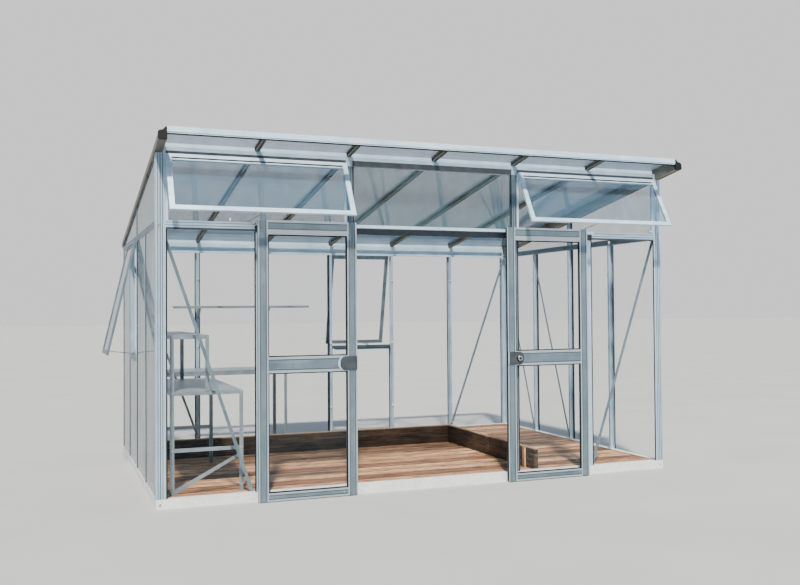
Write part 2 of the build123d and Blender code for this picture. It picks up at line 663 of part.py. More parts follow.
def make_roof():
    start = ROOF_START + FASCIA_WALL
    for line in range(1, BAYS_WIDE):
        section = [(bay_x(line) + x, y) for x, y in mirrored(RAFTER_HALF)]
        keep("rafters", ROOF * crosswise(section, ROOF_START + FASCIA_LEDGE, ROOF_END))
    for side in ("left", "right"):
        outline = at_end(end_rafter_section(), side)
        hollow = at_end(end_rafter_hollow(), side)
        keep("end_rafters", ROOF * crosswise(outline, ROOF_START + CAP_THICK, ROOF_END, hollow))
        cap = crosswise(at_end(end_cap_outline(), side), ROOF_START, ROOF_START + CAP_THICK)
        keep("fascia_end_caps", ROOF * cap)

    edges = [LEFT + END_BOX] + [bay_x(line) for line in range(1, BAYS_WIDE)] + [RIGHT - END_BOX]
    for bay in range(BAYS_WIDE):
        left_gap = PANE_SIDE + (WEB / 2 if bay > 0 else 0)
        right_gap = PANE_SIDE + (WEB / 2 if bay < BAYS_WIDE - 1 else 0)
        x0, x1 = edges[bay] + left_gap, edges[bay + 1] - right_gap
        keep("roof_glass", ROOF * block(x0, x1, start + SEAT, ROOF_END, GLASS_LOW, GLASS_HIGH))
        clear_left = BAR_FACE / 2 + SEAT if bay > 0 else END_LEDGE - END_BOX + SEAT
        clear_right = BAR_FACE / 2 + SEAT if bay < BAYS_WIDE - 1 else END_LEDGE - END_BOX + SEAT
        c0, c1 = edges[bay] + clear_left, edges[bay + 1] - clear_right
        back_closer = (DEPTH - CLOSER_SETBACK - CLOSER_THICK) / cos(SLOPE)
        for place in (CLOSER_SETBACK, back_closer):
            closer = block(c0, c1, place, place + CLOSER_THICK, SEAT, GLASS_LOW - SEAT)
            keep("roof_closers", ROOF * closer)

    wall = FASCIA_WALL
    step = FASCIA_STEP + wall
    back = FASCIA_TOP_LIP - wall
    ledge = RAFTER_LEDGE + FLANGE
    outline = [
        (0, FASCIA_FRONT_LOW), (0, FASCIA_TOP), (FASCIA_TOP_LIP, FASCIA_TOP), (FASCIA_TOP_LIP, CAP_HIGH),
        (back, CAP_HIGH), (back, FASCIA_TOP - wall), (wall, FASCIA_TOP - wall), (wall, ledge),
        (FASCIA_LEDGE, ledge), (FASCIA_LEDGE, ledge - wall), (wall, ledge - wall),
        (wall, FASCIA_FRONT_LOW + wall), (step, FASCIA_FRONT_LOW + wall), (step, 0), (FASCIA_LOW_LIP, 0),
        (FASCIA_LOW_LIP, -wall), (FASCIA_STEP, -wall), (FASCIA_STEP, FASCIA_FRONT_LOW),
    ]
    section = [(ROOF_START + place, height) for place, height in outline]
    keep("roof_fascia", ROOF * lengthwise(section, LEFT + END_BOX, RIGHT - END_BOX))


def make_gables():
    """Glass and one bar between the side rail and the end rafter, in each end wall."""
    drop = END_DROP / cos(SLOPE)
    middle = DEPTH / 2
    near = CORNER_LEG + PANE_SIDE
    edge = WEB / 2 + PANE_SIDE
    # The pane stops short of the point where it would run out to nothing.
    tip_height = CORNER_THICK
    tip = min((HEAD_SEAT - drop - RAIL_TOP - tip_height) / tan(SLOPE), DEPTH - near)
    for side in ("left", "right"):
        outer = LEFT if side == "left" else RIGHT
        inward = 1 if side == "left" else -1
        faces = sorted((outer + inward * PANE_FRONT, outer + inward * (PANE_FRONT + GLASS)))
        for y0, y1 in ((near, middle - edge), (middle + edge, tip)):
            outline = [
                (FRONT + y0, RAIL_TOP + SEAT), (FRONT + y1, RAIL_TOP + SEAT),
                (FRONT + y1, seat_at(y1) - drop - SEAT), (FRONT + y0, seat_at(y0) - drop - SEAT),
            ]
            keep("gable_glass", lengthwise(outline, *faces))
        bar = WALLS[side] * glazing_bar(middle, RAIL_TOP, HEAD_SEAT)
        bar -= roof_space(LEFT - CORNER_REACH, RIGHT + CORNER_REACH, -END_DROP)
        keep("gable_bars", bar)


def brace(wall, low, high, node, rise=BRACE_END):
    """A flat strip inside the bars, from low on one line of the grid to high on the next."""
    z0 = BASE_HEIGHT + rise
    z1 = RAIL_TOP - BRACE_END
    half = BRACE_WIDTH / 2
    outline = [(low - half, z0), (low + half, z0), (high + half, z1), (high - half, z1)]
    keep(node, wall * crosswise(outline, FRAME_DEPTH + SEAT, FRAME_DEPTH + SEAT + BRACE_THICK))


def make_braces():
    corner = CORNER_THICK + BRACE_WIDTH / 2 + PANE_SIDE
    front = WALLS["front"]
    foot = along(1) - BRACE_ASIDE
    brace(front, foot, corner, "wall_braces", SEAT)
    brace(front, LENGTH - foot, LENGTH - corner, "wall_braces", SEAT)
    back = WALLS["back"]
    brace(back, along(1), corner, "wall_braces")
    brace(back, LENGTH - along(1), LENGTH - corner, "wall_braces")
    brace(WALLS["left"], along(1), corner, "wall_braces")
    brace(WALLS["right"], DEPTH - along(1), DEPTH - corner, "wall_braces")
    brace(WALLS["right"], DEPTH - along(2), DEPTH - along(1), "wall_braces")


def hollow_rail(bands, z0, x0, x1):
    """A box rail of a door leaf with grooves along its front."""
    height = band_total(bands)
    front = -LEAF_BACK - LEAF_DEPTH
    face = [(front + setback, place) for place, setback in banded_edge(bands, z0)]
    outline = face + [(-LEAF_BACK, z0 + height), (-LEAF_BACK, z0)]
    inside = [
        (front + LEAF_WALL, z0 + LEAF_WALL), (-LEAF_BACK - LEAF_WALL, z0 + LEAF_WALL),
        (-LEAF_BACK - LEAF_WALL, z0 + height - LEAF_WALL), (front + LEAF_WALL, z0 + height - LEAF_WALL),
    ]
    return lengthwise(outline, x0, x1, inside)


def hollow_stile(x0, z0, z1):
    """A box stile of a door leaf with grooves along its front."""
    width = band_total(LEAF_STILE_BANDS)
    front = -LEAF_BACK - LEAF_DEPTH
    face = [(place, front + setback) for place, setback in banded_edge(LEAF_STILE_BANDS, x0)]
    outline = face + [(x0 + width, -LEAF_BACK), (x0, -LEAF_BACK)]
    inside = [
        (x0 + LEAF_WALL, front + LEAF_WALL), (x0 + width - LEAF_WALL, front + LEAF_WALL),
        (x0 + width - LEAF_WALL, -LEAF_BACK - LEAF_WALL), (x0 + LEAF_WALL, -LEAF_BACK - LEAF_WALL),
    ]
    section = Polygon(*outline, align=None) - Polygon(*inside, align=None)
    return Pos(0, 0, z0) * extrude(section, amount=z1 - z0, dir=(0, 0, 1))


def roller_hanger(at):
    """A bracket that reaches over the track's lip and carries a roller on the ledge behind it."""
    x0, x1 = at - HANGER_WIDTH / 2, at + HANGER_WIDTH / 2
    arm_low = RAIL_TOP + HANGER_RISE
    leg_front = TRACK_PLATE - TRACK_REACH + HANGER_BEHIND_LIP
    leg_back = leg_front + HANGER_PLATE
    hanger = block(x0, x1, -LEAF_BACK, leg_back, arm_low, arm_low + HANGER_PLATE)
    hanger += block(x0, x1, leg_front, leg_back, TRACK_FLOOR + HANGER_ABOVE_FLOOR, arm_low)
    axle_z = TRACK_FLOOR + ROLLER_FLOOR_GAP + ROLLER_RADIUS
    axis = Rot(-90, 0, 0)
    bottom = (Align.CENTER, Align.CENTER, Align.MIN)
    roller = Cylinder(ROLLER_RADIUS, ROLLER_WIDTH, align=bottom)
    roller += Cylinder(AXLE_RADIUS, ROLLER_WIDTH + HANGER_PLATE, align=bottom)
    hanger += Pos(at, leg_back, axle_z) * axis * roller
    return hanger


def make_leaf(name, x0, lock_side):
    """One sliding leaf: two stiles, three rails, two panes, the hangers and the lock plate."""
    x1 = x0 + LEAF_WIDTH
    stile = band_total(LEAF_STILE_BANDS)
    wall = WALLS["front"]
    keep(name + "_stiles", wall * hollow_stile(x0, LEAF_GROUND, LEAF_TOP))
    keep(name + "_stiles", wall * hollow_stile(x1 - stile, LEAF_GROUND, LEAF_TOP))
    r0, r1 = x0 + stile, x1 - stile
    head_bottom = LEAF_TOP - band_total(HEAD_RAIL_BANDS)
    mid_top = MID_RAIL_BOTTOM + band_total(MID_RAIL_BANDS)
    kick_top = LEAF_GROUND + band_total(KICK_RAIL_BANDS)
    keep(name + "_rails", wall * hollow_rail(KICK_RAIL_BANDS, LEAF_GROUND, r0, r1))
    keep(name + "_rails", wall * hollow_rail(MID_RAIL_BANDS, MID_RAIL_BOTTOM, r0, r1))
    keep(name + "_rails", wall * hollow_rail(HEAD_RAIL_BANDS, head_bottom, r0, r1))
    middle = -LEAF_BACK - LEAF_DEPTH / 2
    for z0, z1 in ((kick_top, MID_RAIL_BOTTOM), (mid_top, head_bottom)):
        glass = block(r0 + SEAT, r1 - SEAT, middle - GLASS / 2, middle + GLASS / 2, z0 + SEAT, z1 - SEAT)
        keep(name + "_glass", wall * glass)
    for at in (x0 + HANGER_INSET, x1 - HANGER_INSET):
        keep(name + "_hangers", wall * roller_hanger(at))

    front = -LEAF_BACK - LEAF_DEPTH
    centre_z = MID_RAIL_BOTTOM + band_total(MID_RAIL_BANDS) / 2
    inwards = -1 if lock_side == "right" else 1
    edge = x1 if lock_side == "right" else x0
    centre_x = edge + inwards * LOCK_LENGTH / 2
    outline = Plane.XZ * Rectangle(LOCK_LENGTH, LOCK_HEIGHT)
    plate = Pos(centre_x, front, centre_z) * extrude(outline, amount=LOCK_THICK, dir=(0, -1, 0))
    across = plate.edges().filter_by(Axis.Y).sort_by(Axis.X)
    plate = fillet(across[:2] if inwards < 0 else across[-2:], LOCK_RADIUS)
    if lock_side == "left":
        knob_x = edge + inwards * KNOB_INSET
        knob = Cylinder(KNOB_RADIUS, KNOB_LENGTH, align=(Align.CENTER, Align.CENTER, Align.MIN))
        plate += Pos(knob_x, front - LOCK_THICK, centre_z) * Rot(90, 0, 0) * knob
    keep(name + "_lock", wall * plate)


def make_doors():
    left_edge = along(DOOR_BAY) + LEAF_LAP - LEAF_WIDTH
    right_edge = along(BAYS_WIDE - DOOR_BAY) - LEAF_LAP - RIGHT_STOPPED_SHORT
    make_leaf("door_left", left_edge, "right")
    make_leaf("door_right", right_edge, "left")
    left_travel = LENGTH / 2 - CLOSED_GAP / 2 - left_edge - LEAF_WIDTH
    right_travel = right_edge - LENGTH / 2 - CLOSED_GAP / 2
    print("left leaf slides", round(left_travel, 3), "to the right")
    print("right leaf slides", round(right_travel, 3), "to the left, and", RIGHT_STOPPED_SHORT, "back")


def make_deck():
    x0, x1 = LEFT + BASE_DEPTH + DECK_SIDE, RIGHT - BASE_DEPTH - DECK_SIDE
    y0, y1 = FRONT + BASE_DEPTH + DECK_SIDE, BACK - BASE_DEPTH - DECK_SIDE
    boards = round((y1 - y0 + DECK_GAP) / DECK_BOARD)
    pitch = (y1 - y0 + DECK_GAP) / boards
    for board in range(boards):
        front = y0 + board * pitch
        keep("deck", block(x0, x1, front, front + pitch - DECK_GAP, BEARER_HEIGHT, DECK_TOP))
    for line in range(BAYS_WIDE + 1):
        at = min(max(bay_x(line), x0 + BEARER_WIDTH / 2), x1 - BEARER_WIDTH / 2)
        keep("deck_bearers", block(at - BEARER_WIDTH / 2, at + BEARER_WIDTH / 2, y0, y1, 0, BEARER_HEIGHT))
    top = DECK_TOP + BED_HEIGHT
    keep("bed_boards", block(x0, BED_RIGHT_X + BED_BOARD, BED_BACK_Y, BED_BACK_Y + BED_BOARD, DECK_TOP, top))
    board = block(BED_RIGHT_X, BED_RIGHT_X + BED_BOARD, y0, BED_BACK_Y - DECK_SIDE, DECK_TOP, top)
    keep("bed_boards", board)


def angle_leg(x, y, z0, z1, turn_x, turn_y):
    """An upright angle with its corner at x, y and its legs along turn_x and turn_y."""
    points = [
        (0, 0), (ANGLE, 0), (ANGLE, ANGLE_WALL), (ANGLE_WALL, ANGLE_WALL), (ANGLE_WALL, ANGLE), (0, ANGLE)
    ]
    outline = [(x + turn_x * px, y + turn_y * py) for px, py in points]
    return upright(outline, z0, z1)


def make_staging():
    """Two steps of shelving on angle legs along the left wall."""
    x0 = LEFT + STAGING_FROM_WALL
    x1 = x0 + STAGING_WIDTH
    xm = x0 + STAGING_TOP_WIDTH
    y0 = FRONT + STAGING_FROM_FRONT
    y1 = y0 + STAGING_LENGTH
    middle_low = STAGING_MIDDLE_TOP - ANGLE
    for y, turn in ((y0, 1), (y1, -1)):
        keep("staging_legs", angle_leg(x0, y, DECK_TOP, STAGING_TOP, 1, turn))
        keep("staging_legs", angle_leg(x1, y, DECK_TOP, STAGING_MIDDLE_TOP - SHELF_THICK, -1, turn))
        keep("staging_legs", angle_leg(xm, y, STAGING_MIDDLE_TOP, STAGING_TOP, -1, turn))
        inner = y + turn * ANGLE_WALL
        depth = sorted((inner, inner + turn * ANGLE_WALL))
        flat = (x0 + ANGLE_WALL, x1 - ANGLE_WALL)
        keep("staging_rails", block(*flat, *depth, middle_low, STAGING_MIDDLE_TOP - SHELF_THICK))
        keep("staging_rails", block(*flat, *depth, STAGING_RAIL_TOP - ANGLE, STAGING_RAIL_TOP))
        top_flat = (x0 + ANGLE_WALL, xm - ANGLE_WALL)
        keep("staging_rails", block(*top_flat, *depth, STAGING_TOP - ANGLE, STAGING_TOP - SHELF_THICK))
    diagonal = [
        (x0 + ANGLE, DECK_TOP), (x1 - ANGLE_WALL, DECK_TOP + STAGING_BRACE_RISE - STAGING_BRACE),
        (x1 - ANGLE_WALL, DECK_TOP + STAGING_BRACE_RISE), (x0 + ANGLE_WALL, DECK_TOP + STAGING_BRACE),
        (x0 + ANGLE_WALL, DECK_TOP),
    ]
    keep("staging_rails", crosswise(diagonal, y0 + ANGLE_WALL, y0 + 2 * ANGLE_WALL))
    lengths = (y0 + 2 * ANGLE_WALL, y1 - 2 * ANGLE_WALL)
    tops = ((x0, x1, STAGING_MIDDLE_TOP, middle_low), (x0, xm, STAGING_TOP, STAGING_TOP - ANGLE))
    for left, right, top, low in tops:
        inside = (left + ANGLE_WALL, right - ANGLE_WALL)
        keep("staging_shelves", block(*inside, *lengths, top - SHELF_THICK, top))
        for side in (left + ANGLE_WALL, right - 2 * ANGLE_WALL):
            keep("staging_side_rails", block(side, side + ANGLE_WALL, *lengths, low, top - SHELF_THICK))


def make_bench():
    """A bench and a long narrow shelf along the back wall."""
    x0 = LEFT + BENCH_FROM_WALL
    x1 = x0 + BENCH_LENGTH
    y1 = BACK - BENCH_FROM_WALL
    y0 = y1 - BENCH_DEPTH
    under = BENCH_TOP - SHELF_THICK
    keep("bench_top", block(x0, x1, y0, y1, under, BENCH_TOP))
    for y in (y0, y1 - ANGLE_WALL):
        keep("bench_rails", block(x0, x1, y, y + ANGLE_WALL, BENCH_TOP - BENCH_RAIL, under))
    for x, turn_x in ((x0, 1), (x1, -1)):
        keep("bench_legs", angle_leg(x, y0 + ANGLE_WALL, DECK_TOP, under, turn_x, 1))
        keep("bench_legs", angle_leg(x, y1 - ANGLE_WALL, DECK_TOP, under, turn_x, -1))

    back = BACK - FRAME_DEPTH - SEAT
    s0 = LEFT + SHELF_START
    s1 = s0 + SHELF_LENGTH
    shelf = [
        (back, SHELF_Z), (back - SHELF_DEPTH, SHELF_Z), (back - SHELF_DEPTH, SHELF_Z - SHELF_LIP),
        (back - SHELF_DEPTH + SHELF_THICK, SHELF_Z - SHELF_LIP),
        (back - SHELF_DEPTH + SHELF_THICK, SHELF_Z - SHELF_THICK), (back, SHELF_Z - SHELF_THICK),
    ]
    keep("wall_shelf", lengthwise(shelf, s0, s1))
    under = SHELF_Z - SHELF_THICK
    bracket = [
        (back, under), (back - SHELF_DEPTH + SHELF_LIP, under), (back - SHELF_THICK, under - BRACKET_DROP),
        (back, under - BRACKET_DROP),
    ]
    for line in (1, 2):
        at = bay_x(line) - BRACKET_WIDTH / 2
        keep("shelf_brackets", lengthwise(bracket, at, at + BRACKET_WIDTH))


def export_nodes():
    os.makedirs("parts", exist_ok=True)
    for name, solids in NODES.items():
        export_step(Compound(children=solids), f"parts/{name}.step")
    print(len(NODES), "nodes", sum(len(solids) for solids in NODES.values()), "solids")


make_base()
make_corner_posts()
make_front_wall()
make_track()
make_wall("left", BAYS_DEEP, "side_glass", "side_bars", RAIL_BOTTOM, 1)
make_wall("right", BAYS_DEEP, "side_glass", "side_bars", RAIL_BOTTOM, None)
make_wall("back", BAYS_WIDE, "back_glass", "back_bars", RAIL_BOTTOM, 2)
make_side_rails()
make_eave()
make_front_vents()
make_roof()
make_gables()
make_braces()
make_doors()
make_deck()
make_staging()
make_bench()
export_nodes()
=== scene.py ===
# %% [markdown]
# A glass greenhouse stands on a pale studio floor. Its frame, panes, doors and shelves come from the
# CAD model, which is loaded as it is and never moved. What is added here are the finishes, and the
# small things that the CAD model leaves out: rubber seals, a brush, screws, nuts, lock covers and clips.

# %% Load the CAD frame
import bmesh
import bpy
from math import radians
from mathutils import Matrix, Vector


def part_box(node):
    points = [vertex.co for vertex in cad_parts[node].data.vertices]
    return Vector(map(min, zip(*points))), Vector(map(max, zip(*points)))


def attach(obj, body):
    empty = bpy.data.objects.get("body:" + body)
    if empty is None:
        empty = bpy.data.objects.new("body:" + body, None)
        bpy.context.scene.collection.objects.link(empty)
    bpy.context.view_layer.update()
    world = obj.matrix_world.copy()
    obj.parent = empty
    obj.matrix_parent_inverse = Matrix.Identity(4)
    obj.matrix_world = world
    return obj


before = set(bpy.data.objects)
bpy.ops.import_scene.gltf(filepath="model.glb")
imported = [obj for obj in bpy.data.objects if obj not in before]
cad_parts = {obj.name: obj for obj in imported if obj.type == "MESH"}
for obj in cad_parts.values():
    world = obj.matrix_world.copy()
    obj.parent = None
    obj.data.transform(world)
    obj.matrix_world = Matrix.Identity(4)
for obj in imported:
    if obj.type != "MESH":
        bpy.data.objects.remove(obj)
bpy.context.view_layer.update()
MM = 0.001
bpy.ops.object.select_all(action="DESELECT")

# %% [markdown]
# The pieces below are placed from the faces of the frame, so those are read from the boxes of the CAD
# nodes. Blender counts in metres. Here the sizes are in millimetres, as on a workshop drawing, and are
# multiplied by MM on their way to Blender. The bars of the walls stand one bay apart.

# %% Main sizes
def reach(node, axis, end=1):
    """Where a CAD node ends along an axis, in millimetres: at its high end, or with 0 at its low one."""
    return round(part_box(node)[end]["XYZ".index(axis)] / MM, 1)


WALL_X = reach("corner_posts", "X")
WALL_Y = reach("corner_posts", "Y")
BASE_TOP = reach("base_front", "Z")
DECK_TOP = reach("deck", "Z")
RAIL_LOW = reach("front_rail", "Z", 0)
RAIL_TOP = reach("front_rail", "Z")
HEAD_LOW = reach("head_beam", "Z", 0)
LEAF_FACE = -reach("door_left_stiles", "Y", 0)
BED_TOP = reach("bed_boards", "Z")
BAY = 620.0
print("walls", 2 * WALL_X, "by", 2 * WALL_Y, "mm, rail from", RAIL_LOW, "to", RAIL_TOP, "mm")

# %% [markdown]
# The camera stands where the photograph was taken from: left of the doorway, at chest height, looking a
# little to the right. Its place was worked out from the straight lines of the frame. A real camera is
# aimed by turning it, so the aim is given as three turns: level, up or down, and a slight tilt. The
# place is in metres and the turns are in degrees.

# %% Camera
CAMERA_PLACE = (-2.512, -7.035, 1.216)
CAMERA_TURN = 21.27
CAMERA_UP = 1.11
CAMERA_TILT = -0.39
SENSOR_WIDTH = 36.0
FOCAL_PIXELS = 910.8
FRAME_PIXELS = 800

camera_data = bpy.data.cameras.new("camera")
camera = bpy.data.objects.new("camera", camera_data)
bpy.context.scene.collection.objects.link(camera)
camera_data.sensor_fit = "HORIZONTAL"
camera_data.sensor_width = SENSOR_WIDTH
camera_data.lens = SENSOR_WIDTH * (FOCAL_PIXELS / FRAME_PIXELS)
turn = Matrix.Rotation(radians(-CAMERA_TURN), 4, "Z")
lift = Matrix.Rotation(radians(90 + CAMERA_UP), 4, "X")
tilt = Matrix.Rotation(radians(CAMERA_TILT), 4, "Z")
camera.matrix_world = Matrix.Translation(CAMERA_PLACE) @ turn @ lift @ tilt
bpy.context.scene.camera = camera
print("lens", round(camera_data.lens, 2), "mm")

# %% [markdown]
# Every finish is a small net of shader nodes. Writing each node out by hand would fill pages, so one
# function adds a node, sets it up, and gives each input a value or a link. Colours are hex values, as
# on a paint chart, and one function turns them into the linear light that the renderer works in.

# %% Helpers for the finishes
def linear(code):
    """A hex colour as linear red, green and blue, with a full alpha."""
    levels = [int(code[at:at + 2], 16) / 255 for at in (1, 3, 5)]
    return [v / 12.92 if v <= 0.04045 else ((v + 0.055) / 1.055) ** 2.4 for v in levels] + [1.0]


def feed(tree, node, inputs):
    """Gives each named input of a node a value, or a link from a socket or from another node."""
    for name, value in inputs.items():
        if isinstance(value, bpy.types.Node):
            value = next(out for out in value.outputs if out.enabled)
        if isinstance(value, bpy.types.NodeSocket):
            tree.links.new(value, node.inputs[name])
        else:
            node.inputs[name].default_value = value


def add(tree, kind, inputs=None, stops=(), **settings):
    """Adds a shader node with its settings, the stops of a colour ramp, and its inputs."""
    made = tree.nodes.new(kind)
    for name, value in settings.items():
        setattr(made, name, value)
    for at, (place, code) in enumerate(stops):
        points = made.color_ramp.elements
        point = points[at] if at < 2 else points.new(place)
        point.position = place
        point.color = linear(code)
    feed(tree, made, inputs or {})
    return made


def start_material(name):
    """A new material with its shader, and the object's own coordinates in metres."""
    material = bpy.data.materials.new(name)
    material.use_nodes = True
    tree = material.node_tree
    place = add(tree, "ShaderNodeTexCoord").outputs["Object"]
    return material, tree, tree.nodes["Principled BSDF"], place


def per_mm(size):
    """The texture scale that repeats a pattern every so many millimetres."""
    return 1000.0 / size


print("helpers ready, mid grey is", round(linear("#808080")[0], 3), "in linear light")

# %% [markdown]
# The frame is extruded aluminium with a mill finish. The die leaves hair lines along each bar, and
# years outdoors leave a dull grey oxide bloom in soft blotches. The grooves along the bars are too
# narrow to show their own shade, so it is painted in as dark lines. All grooves of the walls are
# equally deep, and so are those of the leaves, so the colour is simply made darker wherever the surface
# lies at such a depth. In the same way a painted highlight makes it lighter on the raised bands of the
# leaves. The hair lines on the real bars are too fine to show and are drawn 3 mm apart. They run along
# each bar, so each shade comes in three ways: for bars that stand, for bars that run across the front,
# and for bars that run from front to back.

# %% Aluminium
DIE_LINE = 3.0
BLOOM = 140.0
STREAK = 30.0
DRAWN_OUT = 400.0
WALL_GROOVE = 1.75
LEAF_GROOVE = 2.0
GROOVE_FLOORS = [("Y", LEAF_FACE - LEAF_GROOVE), ("Y", WALL_Y - WALL_GROOVE), ("X", WALL_X - WALL_GROOVE)]
FLOOR_BAND = 0.6
FACE_BAND = 0.3
# How strong the painted highlight on the raised bands of the leaves is.
HIGHLIGHT_SHARE = 0.45
# The colour of the painted shade in the grooves.
GROOVE_SHADE = "#3F464C"
# The colour of the painted highlight on the raised bands of the leaves.
FACE_HIGHLIGHT = "#DCE6EE"
HAIR_LINES = {"upright": (1, 1, 1 / DRAWN_OUT), "across": (1 / DRAWN_OUT, 1, 1),
              "deep": (1, 1 / DRAWN_OUT, 1)}
STREAKS = {"upright": (1, 1, 0.08), "across": (0.08, 1, 1), "deep": (1, 0.08, 1)}


def groove_shade(tree, parts, bloom):
    """How much painted shade a point gets: some at the depth of a groove's floor, and none elsewhere."""
    dirt_and_shade = None
    for axis, floor in GROOVE_FLOORS:
        depth = add(tree, "ShaderNodeMath", {0: parts.outputs[axis]}, operation="ABSOLUTE")
        here = add(tree, "ShaderNodeMath", {0: depth, 1: floor * MM, 2: FLOOR_BAND * MM}, operation="COMPARE")
        dirt_and_shade = add(tree, "ShaderNodeMath", {0: dirt_and_shade, 1: here}, operation="MAXIMUM") if dirt_and_shade else here
    patchy = add(tree, "ShaderNodeMapRange", {"Value": bloom, "From Min": 0.3, "From Max": 0.7,
                                              "To Min": 0.75})
    return add(tree, "ShaderNodeMath", {0: dirt_and_shade, 1: patchy}, operation="MULTIPLY")


def mill_aluminium(name, way, dark, light, rough, metallic):
    """Aluminium as it leaves the die: half dull, half shiny, with fine lines along the bar."""
    material, tree, shader, place = start_material(name)
    parts = add(tree, "ShaderNodeSeparateXYZ", {"Vector": place})
    drawn = add(tree, "ShaderNodeMapping", {"Vector": place, "Scale": HAIR_LINES[way]})
    lines = add(tree, "ShaderNodeTexNoise", {"Vector": drawn, "Scale": per_mm(DIE_LINE), "Detail": 2.0})
    bloom = add(tree, "ShaderNodeTexNoise", {"Vector": place, "Scale": per_mm(BLOOM), "Detail": 5.0,
                                             "Roughness": 0.6})
    washed = add(tree, "ShaderNodeMapping", {"Vector": place, "Scale": STREAKS[way]})
    streak = add(tree, "ShaderNodeTexNoise", {"Vector": washed, "Scale": per_mm(STREAK), "Detail": 3.0})
    both = add(tree, "ShaderNodeMix", {"Factor": 0.45, "A": bloom, "B": streak})
    metal = add(tree, "ShaderNodeValToRGB", {"Fac": both}, [(0.32, dark), (0.68, light)])
    # Painted highlight: lighter on the raised bands of the leaves.
    front = add(tree, "ShaderNodeMath", {0: parts.outputs["Y"], 1: -LEAF_FACE * MM, 2: FACE_BAND * MM},
                operation="COMPARE")
    highlight = add(tree, "ShaderNodeMath", {0: front, 1: HIGHLIGHT_SHARE}, operation="MULTIPLY")
    metal = add(tree, "ShaderNodeMix", {"Factor": highlight, "A": metal, "B": linear(FACE_HIGHLIGHT)}, data_type="RGBA")
    # Painted shade: darker in the grooves, which are too narrow to shade themselves.
    dirt_and_shade = groove_shade(tree, parts, bloom)
    colour = add(tree, "ShaderNodeMix", {"Factor": dirt_and_shade, "A": metal, "B": linear(GROOVE_SHADE)}, data_type="RGBA")
    dull = add(tree, "ShaderNodeMapRange", {"Value": bloom, "To Min": rough - 0.08, "To Max": rough + 0.08})
    relief = add(tree, "ShaderNodeBump", {"Height": lines, "Strength": 0.25, "Distance": 0.06 * MM})
    feed(tree, shader, {"Base Color": colour, "Metallic": metallic, "Roughness": dull, "Normal": relief})
    return material


print("grooves at", GROOVE_FLOORS)

# %% [markdown]
# The same aluminium comes in lit and shaded copies, which paint the light and shade that fall on the
# bars where they stand. One is painted sunlight, with a painted reflection of the blue sky, for the
# fascia, the eave beam, the vents and the door track. Another, a little darker, is painted light on the
# posts, the rails and the bars of the walls. The bars under the roof, seen from below, get painted shade
# in brown-grey, and the doors and shelves lie between. The bloom also makes some less of a mirror than
# others. Each shade is a dark and a light colour, a roughness, and how much of a metal it still is. A
# table of shades keeps them side by side.

# %% Shades of aluminium
# The second shade is painted sunlight, the fifth painted light, and the fourth painted shade.
SHADES = {
    "mill": ("#5C6F7C", "#7F94A1", 0.46, 0.55),
    "sunlit": ("#A2C3DA", "#D0E8F8", 0.42, 0.2),
    "shelf": ("#75838D", "#9AA8B1", 0.45, 0.55),
    "roof": ("#514E47", "#7B776D", 0.5, 0.35),
    "pale": ("#97B5CC", "#C2DAED", 0.44, 0.4),
}

aluminium = {}
for way in HAIR_LINES:
    for shade, (dark, light, rough, metallic) in SHADES.items():
        name = shade + "_aluminium_" + way
        aluminium[shade, way] = mill_aluminium(name, way, dark, light, rough, metallic)
print("aluminium finishes", len(aluminium))

# %% [markdown]
# The base rail and the threshold are pressed from galvanised steel. Hot zinc freezes in flat crystals
# called spangle, each a slightly different grey, which Voronoi cells give. The cells are 14 mm across.
# The hangers and bolts are plated with zinc in a bath instead, which has no spangle and shines more.

# %% Zinc finishes
SPANGLE = 14.0
SPLASH = 90.0
BATH_CLOUD = 12.0


def galvanised(name):
    """Hot-dipped steel: pale crystals, with grime splashed up from below."""
    material, tree, shader, place = start_material(name)
    cells = add(tree, "ShaderNodeTexVoronoi", {"Vector": place, "Scale": per_mm(SPANGLE)})
    grey = add(tree, "ShaderNodeSeparateColor", {"Color": cells.outputs["Color"]}).outputs["Red"]
    dirt_and_shade = add(tree, "ShaderNodeTexNoise", {"Vector": place, "Scale": per_mm(SPLASH), "Detail": 5.0,
                                            "Roughness": 0.65})
    mixed = add(tree, "ShaderNodeMix", {"Factor": 0.75, "A": grey, "B": dirt_and_shade})
    greys = [(0.2, "#D2D8DB"), (0.5, "#E4E9EB"), (0.8, "#F2F5F6")]
    colour = add(tree, "ShaderNodeValToRGB", {"Fac": mixed}, greys)
    dull = add(tree, "ShaderNodeMapRange", {"Value": grey, "To Min": 0.42, "To Max": 0.54})
    relief = add(tree, "ShaderNodeBump", {"Height": dirt_and_shade, "Strength": 0.2, "Distance": 0.3 * MM})
    feed(tree, shader, {"Base Color": colour, "Metallic": 0.2, "Roughness": dull, "Normal": relief})
    return material


def zinc_plated(name, dark, light):
    """Bath-plated steel: smooth and cloudy."""
    material, tree, shader, place = start_material(name)
    cloud = add(tree, "ShaderNodeTexNoise", {"Vector": place, "Scale": per_mm(BATH_CLOUD), "Detail": 4.0})
    colour = add(tree, "ShaderNodeValToRGB", {"Fac": cloud}, [(0.3, dark), (0.7, light)])
    dull = add(tree, "ShaderNodeMapRange", {"Value": cloud, "To Min": 0.24, "To Max": 0.4})
    feed(tree, shader, {"Base Color": colour, "Metallic": 1.0, "Roughness": dull})
    return material


galvanised_steel = galvanised("galvanised_steel")
zinc_steel = zinc_plated("zinc_plated_steel", "#A7A9A8", "#CACCCB")
dull_steel = zinc_plated("weathered_screw_steel", "#4C4F52", "#7E8285")
print("zinc finishes", galvanised_steel.name, zinc_steel.name, dull_steel.name)

